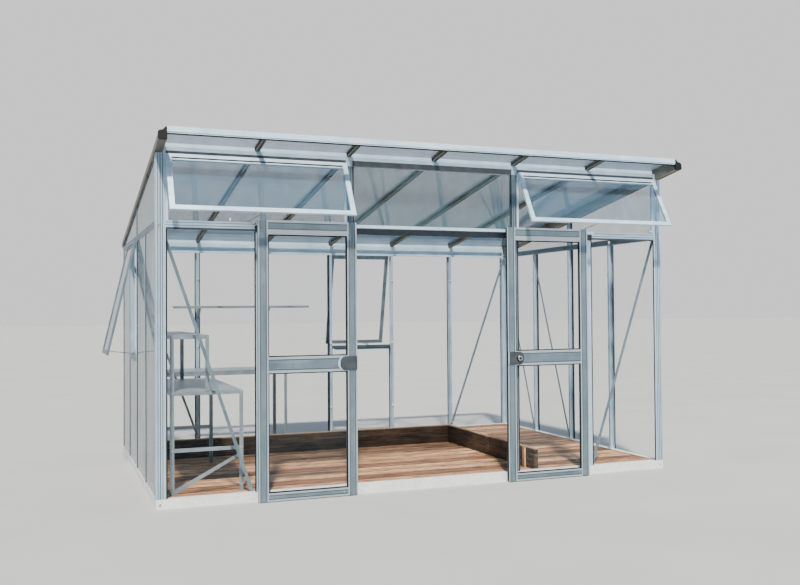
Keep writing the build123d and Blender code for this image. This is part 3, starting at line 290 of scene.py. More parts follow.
# %% [markdown]
# The panes are 4 mm horticultural glass. Looked at squarely such a pane is almost invisible, and at a
# slant it turns into a mirror. Refraction would block the light to everything behind the panes, so the
# glass is a thin film instead: its alpha grows with the slant, alike on both faces of a pane, as the
# Fresnel output would close the inner face altogether. The film's blue-grey colour is partly dust and
# partly a painted reflection of the sky, which shows more as the slant grows, beside the shader's real
# gloss. Rain leaves a veil of dust in streaks down the pane. It is faint on the walls, thicker on the
# roof and the high panes, and thickest on the vents of the front. The roof, which is seen at the
# flattest angle, is the strongest mirror.

# %% Glass
SLANT_POWER = 6.0
DUST = 110.0
PANE_IOR = 1.52


def thin_glass(name, dust_and_sky, veil, mirror, rough=0.04):
    """A pane as a film: how much dust it carries, and how strong a mirror it is at a slant."""
    material, tree, shader, place = start_material(name)
    facing = add(tree, "ShaderNodeLayerWeight", {"Blend": 0.5}).outputs["Facing"]
    slant = add(tree, "ShaderNodeMath", {0: facing, 1: SLANT_POWER}, operation="POWER")
    run = add(tree, "ShaderNodeMapping", {"Vector": place, "Scale": (1.0, 0.3, 0.3)})
    dust = add(tree, "ShaderNodeTexNoise", {"Vector": run, "Scale": per_mm(DUST), "Detail": 7.0,
                                            "Roughness": 0.62})
    film = add(tree, "ShaderNodeMapRange", {"Value": dust, "From Min": 0.3, "From Max": 0.75,
                                            "To Min": veil * 0.8, "To Max": veil * 1.5})
    # At a slant the film's colour is a painted reflection of the sky, beside the shader's real gloss.
    alpha = add(tree, "ShaderNodeMath", {0: slant, 1: mirror, 2: film}, operation="MULTIPLY_ADD",
                use_clamp=True)
    feed(tree, shader, {"Base Color": linear(dust_and_sky), "Roughness": rough, "IOR": PANE_IOR, "Alpha": alpha})
    material.surface_render_method = "BLENDED"
    return material


wall_glass = thin_glass("horticultural_glass", "#566D78", 0.012, 1.3)
high_glass = thin_glass("clerestory_glass", "#486874", 0.17, 1.0)
roof_glass = thin_glass("roof_glass", "#426F90", 0.13, 3.1, 0.08)
vent_glass = thin_glass("vent_glass", "#486C86", 0.2, 1.2)
print("glass", wall_glass.name, high_glass.name, roof_glass.name, vent_glass.name)

# %% [markdown]
# The deck is softwood decking, stained reddish brown and bleached by sun and use. The beds are edged
# with rough sawn planks, dark partly in their own colour and partly from painted shade, and lighter
# along their top edge. Both get a grain drawn out along the boards, with dark checks and scuffs in it.
# Weathered grain stands up, so the same noise drives the relief. Real checks are 1 to 3 mm wide, which
# wouldn't show, so they are drawn 13 mm wide. Painted shade darkens the edges of the deck boards
# beside each gap. The boards are numbered across the deck. The number gives each board a tone of its
# own and shifts all its patterns, so that no line of the grain runs on from one board into the next.

# %% Timber
GRAIN = 7.0
RINGS = 45.0
CHECKS = 13.0
SCUFFS = 26.0
TOP_EDGE_DEPTH = 9.0
TONE_STEPS = (0.34, 0.44, 0.53, 0.64)


def drawn_out(along, times):
    """The scale of a pattern that is drawn out so many times along the named axes."""
    return tuple(1 / times if axis in along else 1 for axis in "XYZ")


def gap_shade(tree, colour, board, share):
    """Paints shade on both edges of every board, beside a gap that takes this share of the pitch."""
    part = add(tree, "ShaderNodeMath", {0: board}, operation="FRACT")
    edge = add(tree, "ShaderNodeMath", {0: part, 1: 0.5 - share / 2}, operation="SUBTRACT")
    edge = add(tree, "ShaderNodeMath", {0: edge}, operation="ABSOLUTE")
    rim = add(tree, "ShaderNodeMapRange", {"Value": edge, "From Min": 0.5 - 1.3 * share,
                                           "From Max": 0.5 - 0.5 * share})
    return add(tree, "ShaderNodeMix", {"Factor": rim, "A": colour, "B": linear("#1E1611")}, data_type="RGBA")


def lighter_top_edge(tree, colour, height, top, code):
    """Lightens the last few millimetres below the top edge of a plank."""
    top_band = add(tree, "ShaderNodeMapRange", {"Value": height, "From Min": (top - TOP_EDGE_DEPTH) * MM,
                                           "From Max": (top - 1) * MM, "To Max": 0.8})
    return add(tree, "ShaderNodeMix", {"Factor": top_band, "A": colour, "B": linear(code)}, data_type="RGBA")


def timber(name, along, across, pitch, start, tones, gap=0.0, lighter_top=None):
    """Grain runs along the axes named first, and the tone changes every pitch along the one across."""
    material, tree, shader, place = start_material(name)
    parts = add(tree, "ShaderNodeSeparateXYZ", {"Vector": place})
    board = add(tree, "ShaderNodeMapRange", {"Value": parts.outputs[across], "From Min": start * MM,
                                             "From Max": (start + pitch) * MM}, clamp=False)
    number = add(tree, "ShaderNodeMath", {0: board}, operation="FLOOR")
    tone = add(tree, "ShaderNodeTexWhiteNoise", {"W": number}, noise_dimensions="1D")
    shift = add(tree, "ShaderNodeCombineXYZ", {"X": number, "Y": number, "Z": number})
    moved = add(tree, "ShaderNodeVectorMath", {0: place, 1: shift}, operation="ADD")
    long_way = add(tree, "ShaderNodeMapping", {"Vector": moved, "Scale": drawn_out(along, 40)})
    fine = add(tree, "ShaderNodeTexNoise", {"Vector": long_way, "Scale": per_mm(GRAIN), "Detail": 7.0,
                                            "Roughness": 0.7, "Distortion": 0.6})
    broad = add(tree, "ShaderNodeTexNoise", {"Vector": long_way, "Scale": per_mm(RINGS), "Detail": 5.0,
                                             "Roughness": 0.6})
    slit = add(tree, "ShaderNodeMapping", {"Vector": moved, "Scale": drawn_out(along, 24)})
    crack = add(tree, "ShaderNodeTexNoise", {"Vector": slit, "Scale": per_mm(CHECKS), "Detail": 4.0})
    grain = add(tree, "ShaderNodeMix", {"Factor": 0.5, "A": fine, "B": broad})
    shade = add(tree, "ShaderNodeMix", {"Factor": 0.22, "A": grain, "B": tone.outputs["Value"]})
    colour = add(tree, "ShaderNodeValToRGB", {"Fac": shade}, list(zip(TONE_STEPS, tones)))
    dark = add(tree, "ShaderNodeValToRGB", {"Fac": crack}, [(0.37, "#4A3A30"), (0.47, "#FFFFFF")])
    colour = add(tree, "ShaderNodeMix", {"Factor": 0.85, "A": colour, "B": dark}, data_type="RGBA",
                 blend_type="MULTIPLY")
    scuffed = add(tree, "ShaderNodeMapping", {"Vector": moved, "Scale": drawn_out(along, 5)})
    scuff = add(tree, "ShaderNodeTexNoise", {"Vector": scuffed, "Scale": per_mm(SCUFFS), "Detail": 6.0,
                                             "Roughness": 0.75})
    patch = add(tree, "ShaderNodeValToRGB", {"Fac": scuff}, [(0.4, "#7C6250"), (0.55, "#FFFFFF")])
    colour = add(tree, "ShaderNodeMix", {"Factor": 0.8, "A": colour, "B": patch}, data_type="RGBA",
                 blend_type="MULTIPLY")
    # Painted shade beside the gaps between the deck boards.
    if gap:
        colour = gap_shade(tree, colour, board, gap / pitch)
    if lighter_top:
        colour = lighter_top_edge(tree, colour, parts.outputs["Z"], *lighter_top)
    dull = add(tree, "ShaderNodeMapRange", {"Value": fine, "To Min": 0.58, "To Max": 0.85})
    relief = add(tree, "ShaderNodeBump", {"Height": fine, "Strength": 0.7, "Distance": 1.8 * MM})
    feed(tree, shader, {"Base Color": colour, "Roughness": dull, "Normal": relief})
    return material


print("the deck lies", DECK_TOP, "mm up, and the bed planks end at", BED_TOP, "mm")

# %% [markdown]
# Three woods come from that recipe, each with four tones from its dark to its light grain. The deck's
# boards change tone every 143.18 mm, which is a board and its gap. The planks and the batten aren't
# divided, so they get one pitch that is larger than they are.

# %% Woods
BOARD_PITCH = 143.18
FIRST_BOARD = -1214.5
BOARD_GAP = 5.0
WHOLE = 900.0
DECK_TONES = ("#5A3928", "#93684A", "#BA8E69", "#DDB88E")
# The planks' tones are darkened by painted shade as well as by their own colour.
PLANK_TONES = ("#1C1612", "#30261E", "#46382B", "#6E5740")
POST_TONES = ("#A27B50", "#C39864", "#D8B07C", "#E8C99B")
deck_wood = timber("stained_decking", "X", "Y", BOARD_PITCH, FIRST_BOARD, DECK_TONES, gap=BOARD_GAP)
plank_wood = timber("rough_plank", "XY", "Z", WHOLE, 0.0, PLANK_TONES, lighter_top=(BED_TOP, "#A58A6A"))
post_wood = timber("planed_batten", "Z", "X", WHOLE, 0.0, POST_TONES)
print("timber", deck_wood.name, plank_wood.name, post_wood.name)

# %% [markdown]
# The end caps of the eaves and the stops of the door track are black polypropylene. The lock plates,
# the wide strips of painted shade over the panes and the brush are dark grey nylon, the peg and the
# washer are white nylon, and the gaskets and the strip of painted shade under the fascia are black
# rubber. Moulded and extruded plastic is never quite even: a fine grit dulls it, and dust settles on it
# in clouds.

# %% Plastics and rubber
DUST_CLOUD = 60.0


def moulded(name, dark, light, rough, grit, shine=0.5):
    """Plastic or rubber with a fine grit, dustier in some places than in others."""
    material, tree, shader, place = start_material(name)
    grain = add(tree, "ShaderNodeTexNoise", {"Vector": place, "Scale": per_mm(grit), "Detail": 2.0})
    cloud = add(tree, "ShaderNodeTexNoise", {"Vector": place, "Scale": per_mm(DUST_CLOUD), "Detail": 4.0})
    colour = add(tree, "ShaderNodeValToRGB", {"Fac": cloud}, [(0.3, dark), (0.7, light)])
    dull = add(tree, "ShaderNodeMapRange", {"Value": cloud, "To Min": rough - 0.06, "To Max": rough + 0.06})
    relief = add(tree, "ShaderNodeBump", {"Height": grain, "Strength": 0.3, "Distance": 0.1 * MM})
    feed(tree, shader, {"Base Color": colour, "Roughness": dull, "IOR": 1.5, "Specular IOR Level": shine,
                        "Normal": relief})
    return material


black_plastic = moulded("black_polypropylene", "#0B0C0D", "#131416", 0.6, 1.5, 0.2)
grey_plastic = moulded("grey_nylon", "#2B3137", "#3E454D", 0.42, 1.5)
white_plastic = moulded("white_nylon", "#DADDDC", "#F0F1F0", 0.4, 1.5)
black_rubber = moulded("black_rubber", "#141517", "#1E2022", 0.7, 2.0, 0.2)
print("plastics", black_plastic.name, grey_plastic.name, white_plastic.name, black_rubber.name)

# %% [markdown]
# Each CAD node keeps its shape and gets the finish of what it is made from, with the painted light or
# shade of its place on the bars. Bars take the finish whose lines run their way. A material is put in the
# node's material slot, and the mesh isn't touched.

# %% Finishes on the CAD nodes
BARS = {
    ("pale", "upright"): ["corner_posts", "front_bars", "side_bars", "back_bars"],
    ("pale", "across"): ["front_rail", "head_beam"],
    ("sunlit", "across"): ["eave_beam", "roof_fascia", "roof_closers", "front_vents", "vent_hinges",
                          "door_track"],
    ("mill", "upright"): ["door_posts", "gable_bars", "wall_braces", "wall_vents", "door_left_stiles",
                          "door_right_stiles"],
    ("mill", "across"): ["gutter", "vent_sills", "door_left_rails", "door_right_rails"],
    ("mill", "deep"): ["side_rails"],
    ("roof", "deep"): ["rafters", "end_rafters"],
    ("shelf", "upright"): ["staging_legs", "bench_legs", "shelf_brackets"],
    ("shelf", "across"): ["staging_rails", "bench_top", "bench_rails", "wall_shelf"],
    ("shelf", "deep"): ["staging_side_rails", "staging_shelves"],
}
OTHERS = [
    (galvanised_steel, ["base_front", "base_back", "base_sides", "door_threshold"]),
    (deck_wood, ["deck", "deck_bearers"]),
    (plank_wood, ["bed_boards"]),
    (zinc_steel, ["vent_stays", "door_left_hangers", "door_right_hangers"]),
    (black_plastic, ["fascia_end_caps", "track_stops"]),
    (grey_plastic, ["door_left_lock", "door_right_lock"]),
    (black_rubber, ["vent_seals"]),
    (roof_glass, ["roof_glass"]),
    (vent_glass, ["front_vent_glass"]),
    (high_glass, ["clerestory_glass", "gable_glass"]),
    (wall_glass, ["front_glass", "side_glass", "back_glass", "wall_vent_glass", "door_left_glass",
                  "door_right_glass"]),
]

finish_of = {}
for finish, nodes in [(aluminium[kind], nodes) for kind, nodes in BARS.items()] + OTHERS:
    for node in nodes:
        finish_of[node] = finish
for node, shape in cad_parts.items():
    shape.data.materials.clear()
    shape.data.materials.append(finish_of[node])
print("finished", len(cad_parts), "nodes")

# %% [markdown]
# Small pieces are modelled as by hand: a primitive is added at its place, shaped in edit mode, and
# finished. A few helpers save repeating the same steps. The first ones give a block between two corners,
# pick faces or edges by their place and direction, and round or raise what was picked. An operator acts
# on all that is selected, so each piece starts with nothing selected.

# %% Helpers that shape a piece
SQUARELY = 0.95


def start_clean():
    """Leaves edit mode, with nothing selected."""
    if bpy.context.object and bpy.context.object.mode == "EDIT":
        bpy.ops.object.mode_set(mode="OBJECT")
    bpy.ops.object.select_all(action="DESELECT")


def block(corner, opposite):
    """A cuboid between two opposite corners, alone in the selection."""
    start_clean()
    middle = [(a + b) / 2 * MM for a, b in zip(corner, opposite)]
    size = [abs(b - a) * MM for a, b in zip(corner, opposite)]
    bpy.ops.mesh.primitive_cube_add(size=1.0, location=middle, scale=size)
    bpy.ops.object.transform_apply(location=True, rotation=True, scale=True)
    return bpy.context.object


def pick(test, kind="FACE"):
    """In edit mode, selects only the faces or edges whose middle and direction pass the test."""
    if bpy.context.object.mode != "EDIT":
        bpy.ops.object.mode_set(mode="EDIT")
    bpy.ops.mesh.select_mode(type=kind)
    bpy.ops.mesh.select_all(action="DESELECT")
    shape = bmesh.from_edit_mesh(bpy.context.object.data)
    if kind == "FACE":
        found = [face for face in shape.faces if test(face.calc_center_median() / MM, face.normal)]
    else:
        ends = [(edge, edge.verts[0].co / MM, edge.verts[1].co / MM) for edge in shape.edges]
        found = [edge for edge, a, b in ends if test((a + b) / 2, (b - a).normalized())]
    for item in found:
        item.select_set(True)
    bmesh.update_edit_mesh(bpy.context.object.data)


def ease(width, steps=1, test=None):
    """Rounds the edges that pass the test, or all of them."""
    pick(test or (lambda middle, way: True), "EDGE")
    bpy.ops.mesh.bevel(offset=width * MM, segments=steps, affect="EDGES")


def crown(facing, inset, rise):
    """Raises or sinks the middle of the faces that look one way."""
    facing = Vector(facing).normalized()
    pick(lambda middle, normal: normal.dot(facing) > SQUARELY)
    bpy.ops.mesh.inset(thickness=inset * MM, depth=rise * MM)


print("helpers that shape a piece are ready")

# %% [markdown]
# What repeats is modelled once and copied, and the copies are joined to one piece. The last helper
# names a finished piece, smooths what is nearly flat, and lets it ride on its body with its finish.

# %% Helpers that copy and finish a piece
weights = {}


def gather(pieces):
    """Joins pieces to one, which is then the piece in hand."""
    start_clean()
    for piece in pieces:
        piece.select_set(True)
    bpy.context.view_layer.objects.active = pieces[0]
    if len(pieces) > 1:
        bpy.ops.object.join()
    return bpy.context.object


def repeat(moves):
    """Copies the piece in hand by each move, every copy with its own mesh, and joins them to it."""
    start_clean()
    first = bpy.context.object
    copies = [first]
    for move in moves:
        bpy.ops.object.select_all(action="DESELECT")
        first.select_set(True)
        bpy.context.view_layer.objects.active = first
        bpy.ops.object.duplicate(linked=False)
        bpy.ops.transform.translate(value=[v * MM for v in move])
        copies.append(bpy.context.object)
    return gather(copies)


def settle(piece, name, finish, body="greenhouse", smooth=30.0):
    """Names a finished piece, gives it its finish, and lets it ride on its body."""
    gather([piece])
    bpy.ops.object.transform_apply(location=True, rotation=True, scale=True)
    bpy.ops.object.shade_smooth_by_angle(angle=radians(smooth))
    piece.name = name
    piece.data.materials.clear()
    piece.data.materials.append(finish)
    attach(piece, body)
    weights[name] = sum(len(face.vertices) - 2 for face in piece.data.polygons)
    print(name, "has", weights[name], "triangles")


print("helpers that copy and finish a piece are ready")

# %% [markdown]
# Each fixed pane is held in the frame by a rubber gasket, which is pushed in beside the bar from
# outside and shows as a dark line along it. It could be one long ring round each pane, but only the
# upright lengths stand clear of the bars. So one length is made, with a raised lip along its outer
# face, and copied to both edges of every pane. Places on a wall are given from the wall itself, as how
# far along it, how far behind its outer face, and how high.

# %% Helpers for the walls
FRONT = Vector((0, -1, 0))
BACK = Vector((0, 1, 0))
LEFT = Vector((-1, 0, 0))
RIGHT = Vector((1, 0, 0))
GASKET = 9.0
GASKET_OUTSIDE = 0.7
GASKET_INSIDE = 2.6
GASKET_LOW = BASE_TOP + 1.0
GASKET_TOP = RAIL_LOW - 0.5


def on_wall(wall, at, depth, height):
    """A point of a wall: how far along it, how far behind its outer face, and how high up."""
    if wall.x:
        return Vector((wall.x * (WALL_X - depth), at, height))
    return Vector((at, wall.y * (WALL_Y - depth), height))


def gasket(corner, opposite, facing):
    """A flat rubber strip between two corners, with a raised lip on its outer face."""
    strip = block(corner, opposite)
    crown(facing, 2.0, 0.0)
    crown(facing, 0.6, 0.4)
    return strip


def pane_gaskets(wall, panes, top):
    """A gasket just inside both edges of each pane of a wall, all copied from the first one."""
    places = [at for start, end in panes for at in (start, end - GASKET)]
    gasket(on_wall(wall, places[0], GASKET_OUTSIDE, GASKET_LOW),
           on_wall(wall, places[0] + GASKET, GASKET_INSIDE, top), wall)
    first = on_wall(wall, places[0], 0, 0)
    return repeat([on_wall(wall, at, 0, 0) - first for at in places[1:]])


print("gaskets", GASKET, "mm wide, from", GASKET_LOW, "to", GASKET_TOP, "mm")

# %% [markdown]
# A pane runs from the edge of one bar to the edge of the next. The front has two panes at each side of
# the doorway. The back and the side walls have a bar at every bay, and one pane in the back and one in
# the left wall is short, because it ends under the sill of an open vent.

# %% Gaskets beside the bars
HALF_BAR = 15.0
CORNER = 61.0
DOOR_POST = reach("door_posts", "X")
END_X = WALL_X - CORNER
END_Y = WALL_Y - CORNER
SILL_LOW = reach("vent_sills", "Z", 0) - 0.5
UNDER_VENT = (HALF_BAR, BAY - HALF_BAR)


def panes_between(end, bars):
    """The panes of a wall, each from edge to edge, between its corners and its bars."""
    starts = [-end] + [bar + HALF_BAR for bar in bars]
    ends = [bar - HALF_BAR for bar in bars] + [end]
    return list(zip(starts, ends))


left_of_door = [(-END_X, -2 * BAY - HALF_BAR), (-2 * BAY + HALF_BAR, -DOOR_POST)]
right_of_door = [(DOOR_POST, 2 * BAY - HALF_BAR), (2 * BAY + HALF_BAR, END_X)]
front_gaskets = pane_gaskets(FRONT, left_of_door + right_of_door, GASKET_TOP)
settle(front_gaskets, "front_gaskets", black_rubber)

back_panes = panes_between(END_X, [BAY * n for n in range(-2, 3)])
side_panes = panes_between(END_Y, [BAY * n for n in range(-1, 2)])
for wall, panes, name in ((BACK, back_panes, "back_gaskets"), (LEFT, side_panes, "left_gaskets")):
    tall = pane_gaskets(wall, [pane for pane in panes if pane != UNDER_VENT], GASKET_TOP)
    short = pane_gaskets(wall, [UNDER_VENT], SILL_LOW)
    settle(gather([tall, short]), name, black_rubber)
settle(pane_gaskets(RIGHT, side_panes, GASKET_TOP), "right_gaskets", black_rubber)

# %% [markdown]
# Along the tops of the front panes, under the rail, runs a wider strip of grey plastic, and another one
# fills the recess in the head beam above the high panes. Both strips are painted shade: they darken what
# lies in the shade of the rail and of the head beam. The high pane over the doorway has a black gasket
# down each side. All of them have the same lip as the gaskets, so the same helper makes them.

# %% Painted shade under the rail and under the head beam
RAIL_SHADE_END = 1265.0
SIDE_SHADE = (1818.0, 645.0)
MIDDLE_SHADE = 599.0
HEAD_SHADE_TOP = HEAD_LOW + 37.5
HIGH_EDGE = 599.5
HIGH_GASKET = 8.5
HIGH_TOP = HEAD_LOW - 0.7

# A dark strip of painted shade under the rail, at each side of the doorway.
gasket(on_wall(FRONT, -END_X, 0.5, RAIL_LOW - 13),
       on_wall(FRONT, -RAIL_SHADE_END, GASKET_INSIDE, RAIL_LOW - 0.2), FRONT)
settle(repeat([(END_X + RAIL_SHADE_END, 0, 0)]), "rail_shade_strips", grey_plastic)

# Dark strips of painted shade in the recess of the head beam.
middle_shade = gasket(on_wall(FRONT, -MIDDLE_SHADE, 0.6, HEAD_LOW + 0.5),
                     on_wall(FRONT, MIDDLE_SHADE, 2.8, HEAD_SHADE_TOP), FRONT)
gasket(on_wall(FRONT, -SIDE_SHADE[0], 0.6, HEAD_LOW + 16.5), on_wall(FRONT, -SIDE_SHADE[1], 2.8, HEAD_SHADE_TOP),
       FRONT)
side_shades = repeat([(sum(SIDE_SHADE), 0, 0)])
settle(gather([middle_shade, side_shades]), "head_shade_strips", grey_plastic)

gasket(on_wall(FRONT, -HIGH_EDGE, GASKET_OUTSIDE, RAIL_TOP + 0.5),
       on_wall(FRONT, HIGH_GASKET - HIGH_EDGE, GASKET_INSIDE, HIGH_TOP), FRONT)
settle(repeat([(2 * HIGH_EDGE - HIGH_GASKET, 0, 0)]), "high_gaskets", black_rubber)

# %% [markdown]
# Beside each tilted vent, the frame carries a light folded angle on both sides, against which the vent
# closes. One leg of it lies in the wall and the other stands into the room, so two thin blocks are
# made at a right angle, their corners are eased, and they are joined.

# %% Landing strips of the front vents
LANDING = 15.0
LEG = 2.5
VENT_EDGES = ((-END_X, 1), (-DOOR_POST - 1, -1), (DOOR_POST + 1, 1), (END_X, -1))
LANDING_LOW = RAIL_TOP + 1.0

landings = []
for edge, inwards in VENT_EDGES:
    strip = block(on_wall(FRONT, edge, 1.0, LANDING_LOW),
                  on_wall(FRONT, edge + LANDING * inwards, GASKET_INSIDE, HIGH_TOP))
    crown((0, 1, 0), 0.1, 0.0)
    ease(0.4, 1, lambda middle, way: abs(way.z) > 0.9)
    leg = block(on_wall(FRONT, edge + (LANDING - LEG) * inwards, 2.4, LANDING_LOW),
                on_wall(FRONT, edge + LANDING * inwards, 20.0, HIGH_TOP))
    ease(0.5, 1, lambda middle, way: abs(way.z) > 0.9)
    landings.append(gather([strip, leg]))
# The strips take the aluminium with painted sunlight.
settle(gather(landings), "vent_landings", aluminium["sunlit", "upright"])

# %% [markdown]
# Under the overhanging fascia a black rubber strip paints the shade that the fascia casts on the gap to
# the glass. It is made level, with its lip pulled down along one edge, and then turned to the slope of the
# roof.

# %% Painted shade under the fascia
ROOF_SLOPE = 9.5
HEAD_SEAT = 2244.7
FASCIA_SHADE_END = 1836.0
FASCIA_SHADE_FRONT = -244.4
FASCIA_SHADE_BACK = -225.0
FASCIA_SHADE_LOW = -6.0
FASCIA_SHADE_TOP = -3.0
LIP_DROP = 1.0

# A black strip of painted shade under the fascia.
fascia_shade_strip = block((-FASCIA_SHADE_END, FASCIA_SHADE_FRONT, FASCIA_SHADE_LOW),
                    (FASCIA_SHADE_END, FASCIA_SHADE_BACK, FASCIA_SHADE_TOP))
crown((0, 0, -1), 1.5, 0.0)
pick(lambda middle, way: middle.y < FASCIA_SHADE_FRONT + 2.4 and middle.z < FASCIA_SHADE_LOW + 0.1
     and abs(way.x) > 0.9, "EDGE")
bpy.ops.transform.translate(value=(0, 0, -LIP_DROP * MM))
ease(0.4, 1, lambda middle, way: abs(way.x) > 0.9)
start_clean()
fascia_shade_strip.rotation_euler = (radians(-ROOF_SLOPE), 0, 0)
fascia_shade_strip.location = (0, -WALL_Y * MM, HEAD_SEAT * MM)
settle(fascia_shade_strip, "fascia_shade_strip", black_rubber)

# %% [markdown]
# A brush under the door track keeps the draught out behind the sliding leaves. Its thousands of
# bristles would cost far too many faces, so the brush is one thin skirt pulled down from the holder,
# cut into tufts, with the lower edge of each tuft a little longer or shorter than the next one's.

# %% Brush under the door track
TUFT = 12.0
BRUSH_END = reach("door_track", "X")
SKIRT_LOW = RAIL_LOW - 18.0


def pull_tufts(every, from_tuft, drop):
    """Moves the lower end of every so many tufts, counted from the left, up or down."""
    def its_turn(middle, way):
        tuft = round((middle.x + BRUSH_END) / TUFT)
        return middle.z < SKIRT_LOW + 1 and abs(way.y) > 0.9 and tuft % every == from_tuft
    pick(its_turn, "EDGE")
    bpy.ops.transform.translate(value=(0, 0, drop * MM))


holder = block(on_wall(FRONT, -BRUSH_END, -6.2, RAIL_LOW), on_wall(FRONT, BRUSH_END, -3.4, RAIL_LOW + 22))
ease(0.5, 1, lambda middle, way: abs(way.x) > 0.9)
skirt = block(on_wall(FRONT, -BRUSH_END, -5.5, SKIRT_LOW), on_wall(FRONT, BRUSH_END, -4.1, RAIL_LOW + 1))
pick(lambda middle, way: abs(way.x) > 0.9, "EDGE")
bpy.ops.mesh.subdivide(number_cuts=int(2 * BRUSH_END / TUFT) - 1)
pull_tufts(2, 1, -2.5)
pull_tufts(5, 2, 1.5)
settle(gather([holder, skirt]), "track_brush", grey_plastic, smooth=20.0)

# %% [markdown]
# Each leaf has two panes, and each pane sits in a rubber frame that shows as a dark ring on both
# faces. A ring is a flat block whose two faces are inset and then bridged, which opens it like a
# picture frame. One ring is made for each size, and copied to the back of its pane.

# %% Rubber frames of the door panes
RING = 7.0
RING_SIDES = (65.0, 595.0)
RING_HEIGHTS = ((58.0, 820.0), (922.0, 1706.0))
RING_FRONT = 7.0 - LEAF_FACE
RING_BACK = 9.9 - LEAF_FACE
TO_BACK_RING = 7.2
LEAVES = {"door_left": reach("door_left_stiles", "X", 0), "door_right": reach("door_right_stiles", "X", 0)}

for leaf, x in LEAVES.items():
    rings = []
    for low, high in RING_HEIGHTS:
        block((x + RING_SIDES[0], RING_FRONT, low), (x + RING_SIDES[1], RING_BACK, high))
        pick(lambda middle, normal: abs(normal.y) > 0.9)
        bpy.ops.mesh.inset(thickness=RING * MM)
        bpy.ops.mesh.bridge_edge_loops()
        ease(0.6, 1, lambda middle, way: middle.y < RING_FRONT + 0.1)
        rings.append(repeat([(0, TO_BACK_RING, 0)]))
    settle(gather(rings), leaf + "_pane_seals", black_rubber, leaf)

# %% [markdown]
# A thin black rubber strip covers the closing side of the right leaf. It has the lip of a gasket, so the
# same helper makes it, and it rides on that leaf.

# %% Closing edge of the right leaf
closing_side = LEAVES["door_right"]
edge_strip = gasket((closing_side - 0.6, 3 - LEAF_FACE, 12), (closing_side, 21 - LEAF_FACE, 1790), LEFT)
settle(edge_strip, "door_right_edge_strip", black_rubber, "door_right")

# %% [markdown]
# Screws and bolts hold all of it together. Each head starts as a short cylinder on its surface. Its
# top is inset and raised for the rounded rim, and inset again and sunk for the socket. The rim and the
# dome are shares of the radius. A head that is repeated hundreds of times has only six sides, which is
# enough for something 9 mm wide.

# %% Helpers for screws, bolts and nuts
RIM = 0.22
DOME = 0.16
SOCKET_WALL = 0.06


def head(at, facing, radius, height, sides=10, socket=0.45, depth=1.2):
    """A screw or bolt head that stands on a surface point and faces outwards."""
    start_clean()
    facing = Vector(facing).normalized()
    middle = (Vector(at) + facing * height / 2) * MM
    turn = facing.to_track_quat("Z", "Y").to_euler()
    bpy.ops.mesh.primitive_cylinder_add(vertices=sides, radius=radius * MM, depth=height * MM,
                                        location=middle, rotation=turn)
    bpy.ops.object.transform_apply(location=True, rotation=True, scale=True)
    pick(lambda middle, normal: normal.dot(facing) > SQUARELY)
    bpy.ops.mesh.inset(thickness=radius * RIM * MM, depth=radius * DOME * MM)
    bpy.ops.mesh.inset(thickness=radius * (1 - RIM - socket) * MM, depth=0.0)
    bpy.ops.mesh.inset(thickness=radius * SOCKET_WALL * MM, depth=-depth * MM)
    return bpy.context.object


def nut(at, facing, radius=7.5):
    """A hexagon nut on its washer, with the end of the bolt standing out of it."""
    facing = Vector(facing).normalized()
    washer = head(at, facing, radius * 1.25, height=1.0, sides=12, socket=0.7, depth=0.2)
    hexagon = head(at + facing, facing, radius, height=5.0, sides=6, socket=0.5, depth=0.6)
    bolt = head(at + facing * 4, facing, radius * 0.45, height=4.5, sides=8, socket=0.5, depth=0.2)
    return gather([washer, hexagon, bolt])


print("heads and nuts are ready")

# %% [markdown]
# Every deck board is held by two screws over each bearer. The fourteen screws of one board are copied
# from one head, and an array modifier repeats them for all seventeen boards.

# %% Deck screws
BOARDS = 17
BEARERS = (-1790.0, -1240.0, -620.0, 0.0, 620.0, 1240.0, 1790.0)
SCREW_ROWS = (-1190.0, -1101.0)

spots = [Vector((x, y, DECK_TOP)) for x in BEARERS for y in SCREW_ROWS]
head(spots[0], (0, 0, 1), radius=4.5, height=0.5, sides=6, depth=0.5)
deck_screws = repeat([spot - spots[0] for spot in spots[1:]])
boards = deck_screws.modifiers.new("boards", "ARRAY")
boards.count = BOARDS
boards.use_relative_offset = False
boards.use_constant_offset = True
boards.constant_offset_displace = (0, BOARD_PITCH * MM, 0)
bpy.ops.object.modifier_apply(modifier="boards")
settle(deck_screws, "deck_screws", dull_steel)

# %% [markdown]
# The nuts sit in the channel along the inner edge of every bar, where shelves and braces are bolted
# on. Three stand on each bar between the base and the rail. One nut is made for each wall, because
# those of different walls face different ways, and it is copied to the wall's other bars. Along the
# eaves beam a screw with a round head sits in the middle of each bay.

# %% Nuts on the bars, and eave screws
CHANNEL = 41.0
NUT_HEIGHTS = (300, 900, 1500)
NUT_BARS = [(FRONT, (-2, 2)), (BACK, (-2, -1, 0, 1, 2)), (LEFT, (-1, 0, 1)), (RIGHT, (-1, 0, 1))]

bar_nuts = []
for wall, bars in NUT_BARS:
    spots = [on_wall(wall, BAY * bar, CHANNEL, height) for bar in bars for height in NUT_HEIGHTS]
    nut(spots[0], -wall)
    bar_nuts.append(repeat([spot - spots[0] for spot in spots[1:]]))
settle(gather(bar_nuts), "bar_nuts", zinc_steel)

head(on_wall(BACK, -2.5 * BAY, CHANNEL, RAIL_LOW + 9), FRONT, radius=6.0, height=3.0)
settle(repeat([(BAY * n, 0, 0) for n in range(1, 6)]), "eave_screws", zinc_steel)

# %% [markdown]
# The diagonal braces are flat strips with a bolt through each end. Those of the front and the back
# stand near the first bar and lean out to the corner at the top, the left wall has one and the right
# wall has two. Their ends follow no even step, so each nut is made at its own place.

